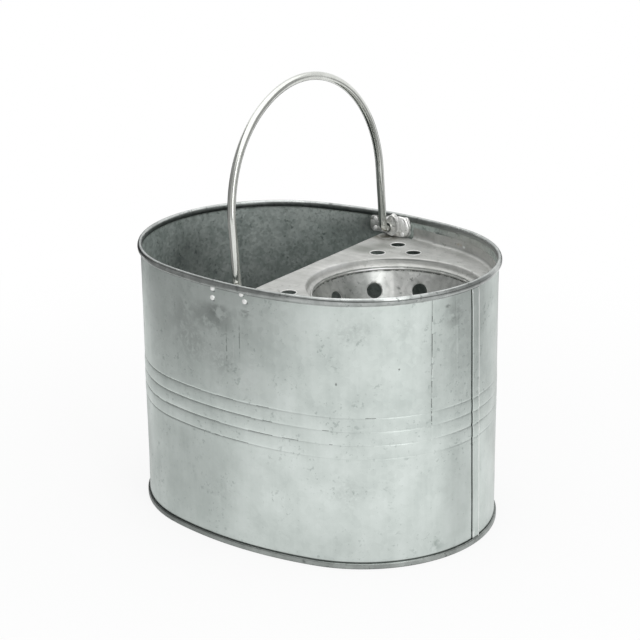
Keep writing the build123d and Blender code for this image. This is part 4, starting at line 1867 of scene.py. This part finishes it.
@dataclass
class WringerCone:
    """The perforated cone under the deck's mouth, and its bottom cap."""

    sheet: float = 0.8 * MM
    lap: float = 0.05 * MM
    middle_x: float = 80.25 * MM
    top: float = 205.9 * MM
    collar_top: float = 209.0 * MM
    top_radius: float = 70.35 * MM
    bottom: float = 118.4 * MM
    bottom_radius: float = 34.0 * MM
    rows: int = 34
    columns: int = 216
    hole_radius: float = 7.0 * MM
    hole_rows: int = 3
    holes_per_row: int = 10
    drill: float = 8.0 * MM
    burr: float = 0.7 * MM
    first_drop: float = 16.4 * MM
    last_rise: float = 17.5 * MM
    seam_angle: float = 122.0
    seam_half: float = 4.0 * MM
    seam_edge: float = 0.5 * MM
    seam_proud: float = 0.2 * MM
    joint_drop: float = 1.2 * MM
    joint_from: float = 0.4
    joint_recess: float = 0.15 * MM
    dent: float = 0.30 * MM
    dent_length: float = 19.0 * MM
    dent_seed: float = 5.3
    stiff_edge: float = 8.0 * MM
    cap_rim: float = 6.0 * MM
    cap_rings: tuple[float, ...] = (0.9, 0.6, 0.3)
    cap_holes: int = 6
    crisp: float = 40.0

    @property
    def centre(self) -> Vector:
        """Middle of the cone on the floor's plane."""
        return Vector((self.middle_x, 0.0, 0.0))

    @property
    def slope(self) -> float:
        """Growth of the radius with height."""
        return (self.top_radius - self.bottom_radius) / (self.top - self.bottom)

    def radius(self, height: float) -> float:
        """Inside radius at a height."""
        return self.bottom_radius + (height - self.bottom) * self.slope

    def spun(self, line: Section, columns: int) -> Mesh:
        """Spin a line of radii and heights about the cone's axis.

        Args:
            line: Radii and heights.
            columns: Columns of faces.

        Returns:
            The mesh.
        """
        bm = bmesh.new()
        rim = chain(bm, [self.centre + Vector((reach, 0.0, height)) for reach, height in line])
        turn(bm, rim, self.centre, UP, 2 * math.pi, columns)
        closed_up(bm)
        return bm

    def relieve(self, vert: Vert) -> None:
        """Move a point of the cone: dents, the lap seam's step and the recess at the joint.

        Args:
            vert: The point.
        """
        arm = vert.co - self.centre
        arm.z = 0.0
        out = arm.normalized()
        free = smooth_step(self.bottom, self.bottom + self.stiff_edge, vert.co.z)
        free *= 1.0 - smooth_step(self.top - self.stiff_edge, self.top, vert.co.z)
        shift = free * self.dent * ripple(vert.co, self.dent_length, self.dent_seed)
        turned = math.remainder(math.atan2(arm.y, arm.x) - math.radians(self.seam_angle), 2 * math.pi)
        across = abs(arm.length * turned)
        strip = 1.0 - smooth_step(self.seam_half - self.seam_edge, self.seam_half + self.seam_edge, across)
        shift += free * self.seam_proud * strip
        start = self.top - self.joint_drop
        joint = smooth_step(start, self.top - self.joint_from * self.joint_drop, vert.co.z)
        vert.co += out * (shift + joint * self.joint_recess)

    def holes(self) -> list[Matrix]:
        """Places of the rows of holes, each square to the cone's wall.

        Returns:
            Place and direction of each hole.
        """
        first, last = self.top - self.first_drop, self.bottom + self.last_rise
        tilt = Matrix.Rotation(math.pi / 2 + math.atan(self.slope), 4, "Y")
        pitch = 2 * math.pi / self.holes_per_row
        spots = []
        for row in range(self.hole_rows):
            height = first + (last - first) * row / (self.hole_rows - 1)
            out = Matrix.Translation((self.radius(height), 0.0, height)) @ tilt
            for index in range(self.holes_per_row):
                angle = math.radians(self.seam_angle) + pitch * (index + 0.5)
                spots.append(Matrix.Translation(self.centre) @ Matrix.Rotation(angle, 4, "Z") @ out)
        return spots

    def finish(self, bm: Mesh, name: str, spots: list[Matrix]) -> Item:
        """Give a spun line its thickness outwards, drill it and soften its edges.

        Args:
            bm: The spun line, which is freed.
            name: Name of the object.
            spots: Place and direction of each hole.

        Returns:
            The object.
        """
        bm.normal_update()
        inward = 0.0
        for face in bm.faces:
            inward += (self.centre - face.calc_center_median()).dot(face.normal) * face.calc_area()
        if inward < 0:
            bmesh.ops.reverse_faces(bm, faces=bm.faces)
        made = thickened(as_object(bm, name), self.sheet)
        drilled(made, drills(spots, self.hole_radius, self.drill))
        softened(made)
        rimmed(made, spots, self.hole_radius, self.burr)
        shaded(made, math.radians(self.crisp))
        return made

    def cone(self) -> Piece:
        """Make the cone.

        Returns:
            The piece.
        """
        line = [(self.top_radius, self.collar_top)]
        for row in range(self.rows + 1):
            height = self.top + (self.bottom - self.top) * row / self.rows
            line.append((self.radius(height), height))
        bm = self.spun(line, self.columns)
        for vert in bm.verts:
            self.relieve(vert)
        made = self.finish(bm, "cone_sheet", self.holes())
        finishes = (CONE_FINISH.material(), WORN_AND_HIGHLIGHT_FINISH.material())
        return Piece(made, finishes, Body.BUCKET, Slot.SHEET, ("wringer_cone",))

    def cap(self) -> Piece:
        """Make the perforated cap over the cone's lower edge.

        Returns:
            The piece.
        """
        floor = self.bottom - self.lap
        inner = self.bottom_radius + self.sheet + self.lap
        line = [(inner + self.cap_rim * self.slope, floor + self.cap_rim), (inner, floor)]
        line += [(inner * share, floor) for share in self.cap_rings]
        bm = self.spun(line, self.columns // 2)
        loop = [edge for edge in bm.edges if edge.is_boundary and edge.verts[0].co.z < floor + WELD]
        bmesh.ops.holes_fill(bm, edges=loop, sides=0)
        closed_up(bm)
        ring = (self.hole_radius + self.bottom_radius) / 2
        angles = [2 * math.pi * index / self.cap_holes for index in range(self.cap_holes)]
        places = [Vector()] + [direction(angle) * ring for angle in angles]
        spots = [Matrix.Translation(self.centre + place + UP * floor) for place in places]
        made = self.finish(bm, "cone_cap", spots)
        finishes = (CONE_FINISH.material(), WORN_AND_HIGHLIGHT_FINISH.material())
        return Piece(made, finishes, Body.BUCKET, Slot.SHEET, ("cone_bottom",))


@dataclass
class Ears:
    """The two pressed ears and their rivets."""

    oval: Oval
    middle_x: float = -3.35 * MM
    middle_z: float = 223.0 * MM
    plate: float = 1.5 * MM
    sheet: float = 0.8 * MM
    voxel: float = 0.36 * MM
    smooth_rounds: int = 3
    smooth_factor: float = 0.5
    crumple: float = 0.42 * MM
    crumple_length: float = 5.0 * MM
    crumple_seeds: Span = (4.4, 7.4)
    crease_length: float = 8.0 * MM
    crease_half: float = 0.10
    crease_share: float = 0.9
    bulge: float = 7.0 * MM
    bulge_x: float = 4.0 * MM
    bulge_length: float = 17.5 * MM
    bulge_height: float = 11.5 * MM
    boss_axis: float = 4.1 * MM
    boss_z: float = 1.2 * MM
    boss_crown: float = 5.0 * MM
    boss_foot: float = 8.7 * MM
    lift: float = 4.2 * MM
    lift_x: float = 10.0 * MM
    lift_length: float = 11.5 * MM
    dome_limit: float = 110.7 * MM
    half_height: float = 7.5 * MM
    near_nudges: tuple[Span, ...] = ((0.6, 0.8), (0.9, 0.35), (1.95, 3.7), (-1.2, 1.0))
    rivet_columns: float = 32.0 * MM
    rivet_rows: float = 8.5 * MM
    rivet_tilt: float = 0.12
    rivet_tilt_length: float = 11.0 * MM
    rivet_tilt_seed: float = 0.4
    head_radius: float = 2.25 * MM
    head_height: float = 1.6 * MM
    head_steps: int = 8
    head_columns: int = 28
    shank_share: float = 0.62
    tail_height: float = 0.9 * MM
    tail_line: tuple[Span, ...] = ((1.0, 0.0), (0.92, 0.6), (0.7, 1.0), (0.0, 1.0))
    beaten: float = 0.16 * MM
    beaten_length: float = 1.6 * MM
    beaten_step: float = 2.3
    rivet_crisp: float = 55.0

    def hollow(self, place: Vector, seed: float) -> float:
        """Height of the soft hollows and sharper creases of pressed and dipped steel.

        Args:
            place: Where it is read.
            seed: Which noise it is.

        Returns:
            The height.
        """
        soft = ripple(place, self.crumple_length, seed)
        crease = bell(ripple(place, self.crease_length, seed + 1.0), self.crease_half)
        return self.crumple * (soft - self.crease_share * crease)

    def swollen(self, place: Vector) -> float:
        """How far the ear bulges inwards beside its boss, as one round dome with it.

        Args:
            place: A point of the ear.

        Returns:
            The distance.
        """
        across = place.x - self.middle_x
        height = place.z - self.middle_z
        from_boss = math.hypot(max(0.0, across - self.boss_axis), height - self.boss_z)
        along = ((across - self.bulge_x) / self.bulge_length) ** 2
        round_share = 1.0 - along - (height / self.bulge_height) ** 2
        clear = smooth_step(self.boss_crown, self.boss_foot, from_boss)
        clear *= smooth_step(-self.boss_axis, 2 * self.boss_axis, across)
        return self.bulge * math.sqrt(max(0.0, round_share)) * clear

    def lifted(self, place: Vector) -> float:
        """How far the upper half of the far ear's bulge rises over the plate's edge.

        Args:
            place: A point of the ear.

        Returns:
            The distance.
        """
        if place.y < 0:
            return 0.0
        across = place.x - self.middle_x
        share = 1.0 - ((across - self.lift_x) / self.lift_length) ** 2
        upper = smooth_step(0.0, self.half_height, place.z - self.middle_z)
        return self.lift * math.sqrt(max(0.0, share)) * upper * smooth_step(0.0, self.boss_axis, across)

    def pressed(self, node: Item, side: Side) -> Item:
        """Copy an ear's node as a fine even mesh with the soft hollows of pressed and dipped steel.

        Args:
            node: The ear's node.
            side: The long side that it is on.

        Returns:
            The object.
        """
        bm = bmesh.new()
        bm.from_mesh(node.data)
        closed_up(bm)
        made = as_object(bm, f"{side.name.lower()}_ear")
        even = made.modifiers.new("even", "REMESH")
        even.mode = "VOXEL"
        even.voxel_size = self.voxel
        settled(made)
        bm = bmesh.new()
        bm.from_mesh(made.data)
        axes = {f"use_axis_{name}": True for name in "xyz"}
        for _ in range(self.smooth_rounds):
            bmesh.ops.smooth_vert(bm, verts=bm.verts, factor=self.smooth_factor, **axes)
        bm.normal_update()
        seed = self.crumple_seeds[side is Side.NEAR]
        inward = Vector((0.0, -side.value, 0.0))
        for vert in bm.verts:
            hollow = vert.normal * self.hollow(vert.co, seed)
            vert.co += inward * self.swollen(vert.co) + UP * self.lifted(vert.co)
            vert.co.y = side.value * max(side.value * vert.co.y, self.dome_limit)
            vert.co += hollow
        bm.to_mesh(made.data)
        bm.free()
        shaded(made, math.pi)
        return made

    def rivet(self, place: Vector, seed: float) -> Mesh:
        """One rivet, domed outside the wall and hammered flat on the ear.

        Args:
            place: Its middle on the wall's outer face.
            seed: Which noise its dents are.

        Returns:
            The rivet, in its place.
        """
        line = [(0.0, self.head_height)]
        for step in range(1, self.head_steps + 1):
            angle = math.pi / 2 * step / self.head_steps
            line.append((self.head_radius * math.sin(angle), self.head_height * math.cos(angle)))
        grip = self.sheet + self.plate + self.swollen(place)
        shank = self.shank_share * self.head_radius
        line += [(shank, 0.0), (shank, -grip)]
        for across, deep in self.tail_line:
            line.append((across * self.head_radius, -grip - deep * self.tail_height))
        bm = bmesh.new()
        points = chain(bm, [Vector((reach, 0.0, height)) for reach, height in line])
        turn(bm, points, Vector(), UP, 2 * math.pi, self.head_columns)
        closed_up(bm)
        for vert in bm.verts:
            vert.co += vert.co.normalized() * (self.beaten * ripple(vert.co, self.beaten_length, seed))
        tail = [vert for vert in bm.verts if vert.co.z < -self.sheet]
        angle = self.rivet_tilt * ripple(place, self.rivet_tilt_length, self.rivet_tilt_seed)
        stand = self.oval.spot(place).normal.to_track_quat("Z", "Y").to_matrix().to_4x4()
        stand = Matrix.Translation(place) @ stand @ Matrix.Rotation(angle, 4, "X")
        bmesh.ops.transform(bm, matrix=stand, verts=bm.verts)
        for vert in tail:
            vert.co += UP * self.lifted(vert.co)
        return bm

    def rivets(self, side: Side) -> Item:
        """Four rivets of one ear.

        Args:
            side: The long side that the ear is on.

        Returns:
            The object.
        """
        bm = bmesh.new()
        grid = [(column, row) for column in (-0.5, 0.5) for row in (-0.5, 0.5)]
        for number, (column, row) in enumerate(grid):
            nudge = self.near_nudges[number] if side is Side.NEAR else (0.0, 0.0)
            place_x = self.middle_x + column * self.rivet_columns + nudge[0] * MM
            place_y = math.sqrt(self.oval.side_radius**2 - place_x**2) - self.oval.side_centre
            place_z = self.middle_z + row * self.rivet_rows + nudge[1] * MM
            place = Vector((place_x, side.value * place_y, place_z))
            added(bm, self.rivet(place, self.beaten_step * (number + 1) + side.value))
        bmesh.ops.recalc_face_normals(bm, faces=bm.faces)
        made = as_object(bm, f"{side.name.lower()}_rivets")
        shaded(made, math.radians(self.rivet_crisp))
        return made

    def build(self, nodes: dict[str, Item]) -> list[Piece]:
        """Make both ears and their rivets.

        Args:
            nodes: The frame's nodes.

        Returns:
            The pieces.
        """
        ear_finish = EAR_FINISH.material()
        rivet_finish = RIVET_FINISH.material()
        pieces = []
        for side, word in ((Side.FAR, "back"), (Side.NEAR, "front")):
            node = f"{word}_ear"
            ear = self.pressed(nodes[node], side)
            pieces.append(Piece(ear, (ear_finish,), Body.BUCKET, Slot.EAR, (node,)))
            rivets = self.rivets(side)
            pieces.append(Piece(rivets, (rivet_finish,), Body.BUCKET, Slot.RIVET, (f"{node}_rivets",)))
        return pieces


@dataclass
class Bail:
    """The wire bail: two shoulders and a crown on straight legs, its ends bent into the ears."""

    pivot: Vector = field(default_factory=lambda: Vector((-3.35 * MM, 0.0, 223.0 * MM)))
    radius: float = 3.5 * MM
    half_width: float = 106.43 * MM
    leg: float = 56.2 * MM
    shoulder_radius: float = 99.0 * MM
    shoulder_sweep: float = 57.0
    bend: float = 6.0 * MM
    tip: float = 116.73 * MM
    tip_round: float = 0.8 * MM
    tip_round_steps: int = 3
    lean: float = 4.0
    around: int = 24
    tip_steps: int = 3
    bend_steps: int = 10
    leg_steps: int = 8
    bow_steps: int = 84
    bent_above: Span = (15.0 * MM, 40.0 * MM)
    waver: float = 0.25 * MM
    waver_length: float = 60.0 * MM
    waver_seed: float = 8.8
    bulge: float = 0.65 * MM
    bulge_height: float = 125.0 * MM
    bulge_reach: float = 35.0 * MM
    crisp: float = 60.0

    def drawn(self, bm: Mesh) -> None:
        """Draw the upright wire from its far end to its near one.

        Args:
            bm: The mesh that is drawn in.
        """
        start = self.pivot + Vector((0.0, self.tip, 0.0))
        spot = Matrix.Translation(start) @ Matrix.Rotation(math.pi / 2, 4, "X")
        bmesh.ops.create_circle(bm, cap_ends=False, radius=self.radius, segments=self.around, matrix=spot)
        line: Geometry = [*bm.verts, *bm.edges]
        run = Vector((0.0, self.half_width + self.bend - self.tip, 0.0))
        rise = UP * (self.leg - self.bend)
        ahead = Vector((1.0, 0.0, 0.0))
        bend_far = self.pivot + Vector((0.0, self.half_width + self.bend, self.bend))
        bend_near = self.pivot + Vector((0.0, -self.half_width - self.bend, self.bend))
        line = drawn_on(bm, line, run, self.tip_steps)
        line = turn(bm, line, bend_far, -ahead, math.pi / 2, self.bend_steps)
        line = drawn_on(bm, line, rise, self.leg_steps)
        sweep = math.radians(self.shoulder_sweep)
        shoulder = self.half_width - self.shoulder_radius
        crown = self.leg - shoulder * math.tan(sweep)
        bows = ((shoulder, self.leg, sweep), (0.0, crown, math.pi - 2 * sweep), (-shoulder, self.leg, sweep))
        for across, height, angle in bows:
            centre = self.pivot + Vector((0.0, across, height))
            line = turn(bm, line, centre, ahead, angle, round(self.bow_steps * angle / math.pi))
        line = drawn_on(bm, line, -rise, self.leg_steps)
        line = turn(bm, line, bend_near, -ahead, math.pi / 2, self.bend_steps)
        drawn_on(bm, line, run, self.tip_steps)

    def build(self) -> Piece:
        """Make the bail.

        Returns:
            The piece.
        """
        bm = bmesh.new()
        self.drawn(bm)
        ends = [edge for edge in bm.edges if edge.is_boundary]
        caps = bmesh.ops.holes_fill(bm, edges=ends, sides=0)["faces"]
        closed_up(bm)
        rims = [edge for face in caps for edge in face.edges]
        bmesh.ops.bevel(
            bm, geom=rims, offset=self.tip_round, offset_type="OFFSET", segments=self.tip_round_steps,
            profile=0.5, affect="EDGES", material=-1,
        )
        for vert in bm.verts:
            height = vert.co.z - self.pivot.z
            above = smooth_step(*self.bent_above, height)
            if vert.co.y < 0:
                vert.co.y -= above * self.bulge * bell(height - self.bulge_height, self.bulge_reach)
            vert.co.x += above * self.waver * ripple(vert.co, self.waver_length, self.waver_seed)
        lean = Matrix.Rotation(-math.radians(self.lean), 4, "Y")
        about = Matrix.Translation(self.pivot) @ lean @ Matrix.Translation(-self.pivot)
        bmesh.ops.transform(bm, matrix=about, verts=bm.verts)
        bmesh.ops.recalc_face_normals(bm, faces=bm.faces)
        made = as_object(bm, "bail_wire")
        shaded(made, math.radians(self.crisp))
        return Piece(made, (WIRE_FINISH.material(),), Body.BAIL, Slot.WIRE, ("bail",))


@dataclass(frozen=True)
class Lamp:
    """A soft box that faces the bucket.

    Attributes:
        name: Its name.
        place: Where it stands.
        size: Its width and height.
        power: Its power in watts.
    """

    name: str
    place: Place
    size: Span
    power: float


@dataclass(frozen=True)
class Card:
    """An upright grey card that faces the bucket and that only reflections see.

    Attributes:
        name: Its name.
        bearing: Its direction from the bucket, in degrees to the right of the camera's.
        reach: Its distance from the bucket's middle.
        size: Its width and height.
        grey: Its brightness.
        lift: Height of its lower edge.
    """

    name: str
    bearing: float
    reach: float
    size: Span
    grey: float
    lift: float = 0.0


LAMPS = (
    Lamp("overhead", (0.2, -0.2, 2.2), (5.0, 5.0), 42.0),
    Lamp("key", (1.5, -0.8, 0.85), (0.46, 1.6), 6.5),
    Lamp("strip", (0.06, 0.06, 2.0), (1.5, 0.6), 4.0),
)
CARDS = (
    Card("left_card", -84.0, 0.42, (0.76, 0.80), 0.34),
    Card("left_flag", -135.0, 0.40, (0.72, 0.15), 0.05, 0.16),
    Card("right_card", 84.0, 0.48, (0.45, 0.80), 0.42),
    Card("room", 0.0, 2.1, (5.0, 2.4), 0.55),
    Card("horizon", 180.0, 0.45, (0.90, 0.24), 0.06, 0.05),
)


@dataclass
class Studio:
    """Plain pale floor, soft light and the camera."""

    azimuth: float = 35.91
    elevation: float = 19.56
    distance: float = 1720.65 * MM
    target: Vector = field(default_factory=lambda: Vector((0.0, 0.0, 168.24 * MM)))
    lens: float = 111.66
    sensor: float = 36.0
    shift: float = 0.0035
    roll: float = -0.62
    clip_end: float = 50.0
    fill: float = 0.55
    floor_size: float = 6.0
    floor_grey: float = 0.86
    floor_white: float = 0.86
    floor_fade: Span = (0.25, 0.75)

    def back(self) -> Vector:
        """Direction from the target to the camera."""
        around, up = math.radians(self.azimuth), math.radians(self.elevation)
        return Vector((math.sin(around) * math.cos(up), -math.cos(around) * math.cos(up), math.sin(up)))

    def camera(self) -> None:
        """Set the camera at the photograph's angle."""
        back = self.back()
        right = UP.cross(back).normalized()
        upward = back.cross(right)
        turned = math.radians(self.roll)
        across = right * math.cos(turned) + upward * math.sin(turned)
        along = upward * math.cos(turned) - right * math.sin(turned)
        data = bpy.data.cameras.new("camera")
        data.lens = self.lens
        data.sensor_width = self.sensor
        data.shift_x = self.shift
        data.clip_end = self.clip_end
        made = bpy.data.objects.new("camera", data)
        place = Matrix.Translation(self.target + back * self.distance)
        made.matrix_world = place @ Matrix((across, along, back)).transposed().to_4x4()
        bpy.context.scene.collection.objects.link(made)
        bpy.context.scene.camera = made

    def lamp(self, lamp: Lamp) -> None:
        """Add a lamp.

        Args:
            lamp: The lamp.
        """
        data = bpy.data.lights.new(lamp.name, "AREA")
        data.shape = "RECTANGLE"
        data.size, data.size_y = lamp.size
        data.energy = lamp.power
        made = bpy.data.objects.new(lamp.name, data)
        place = Vector(lamp.place)
        aim = (place - self.target).to_track_quat("Z", "Y").to_matrix().to_4x4()
        made.matrix_world = Matrix.Translation(place) @ aim
        bpy.context.scene.collection.objects.link(made)

    def world(self) -> None:
        """White background, with a plainer light on the object."""
        sketch = Sketch(bpy.data.worlds.new("studio"))
        bpy.context.scene.world = sketch.owner
        light = sketch.plain("ShaderNodeBackground", 1.0, self.fill)
        white = sketch.plain("ShaderNodeBackground", 1.0, 1.0)
        sketch.end(sketch.blend(sketch.shown(), light, white), "ShaderNodeOutputWorld")

    def floor(self) -> None:
        """Pale floor that keeps a faint shadow."""
        bm = bmesh.new()
        bmesh.ops.create_grid(bm, x_segments=1, y_segments=1, size=self.floor_size)
        made = as_object(bm, "floor")
        sketch = Sketch(bpy.data.materials.new("pale_floor"))
        whiter = sketch.ramp(sketch.distance(sketch.place), *self.floor_fade, self.floor_white, 1.0)
        share = sketch.sum("MULTIPLY", sketch.shown(), whiter)
        paint = sketch.plain("ShaderNodeBsdfDiffuse", self.floor_grey)
        sketch.end(sketch.blend(share, paint, sketch.plain("ShaderNodeEmission", 1.0)))
        made.data.materials.append(sketch.owner)

    def card(self, card: Card) -> None:
        """Stand a card.

        Args:
            card: The card.
        """
        bm = bmesh.new()
        bmesh.ops.create_grid(bm, x_segments=1, y_segments=1, size=0.5)
        turned = Matrix.Rotation(math.radians(self.azimuth + card.bearing), 4, "Z")
        upright = Matrix.Rotation(math.pi / 2, 4, "X") @ Matrix.Diagonal((*card.size, 1.0, 1.0))
        out = Matrix.Translation((0.0, -card.reach, card.lift + card.size[1] / 2))
        bmesh.ops.transform(bm, matrix=turned @ out @ upright, verts=bm.verts)
        made = as_object(bm, card.name)
        sketch = Sketch(bpy.data.materials.new(card.name))
        sketch.end(sketch.plain("ShaderNodeEmission", card.grey))
        made.data.materials.append(sketch.owner)
        made.visible_camera = False
        made.visible_diffuse = False
        made.visible_shadow = False

    def build(self) -> None:
        """Set up the whole studio."""
        bpy.context.scene.view_settings.view_transform = "Standard"
        self.camera()
        self.world()
        self.floor()
        for lamp in LAMPS:
            self.lamp(lamp)
        for card in CARDS:
            self.card(card)


def main() -> None:
    """Dress the bucket and set up the studio."""
    logging.basicConfig(level=logging.INFO, format="%(name)s %(message)s")
    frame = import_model()
    Studio().build()
    oval = Oval()
    cone = WringerCone()
    pieces = [
        WallSheet(oval).build(),
        FootPan(oval).build(),
        WringerDeck(oval).build(),
        cone.cone(),
        cone.cap(),
        *Ears(oval).build(frame["nodes"]),
        Bail().build(),
    ]
    for piece in pieces:
        piece.place()
    hidden = frame["nodes"]["rim_wire"]
    hidden.data.materials.clear()
    hidden.data.materials.append(WIRE_FINISH.material())
    bpy.context.view_layer.update()


if __name__ == "__main__":
    main()
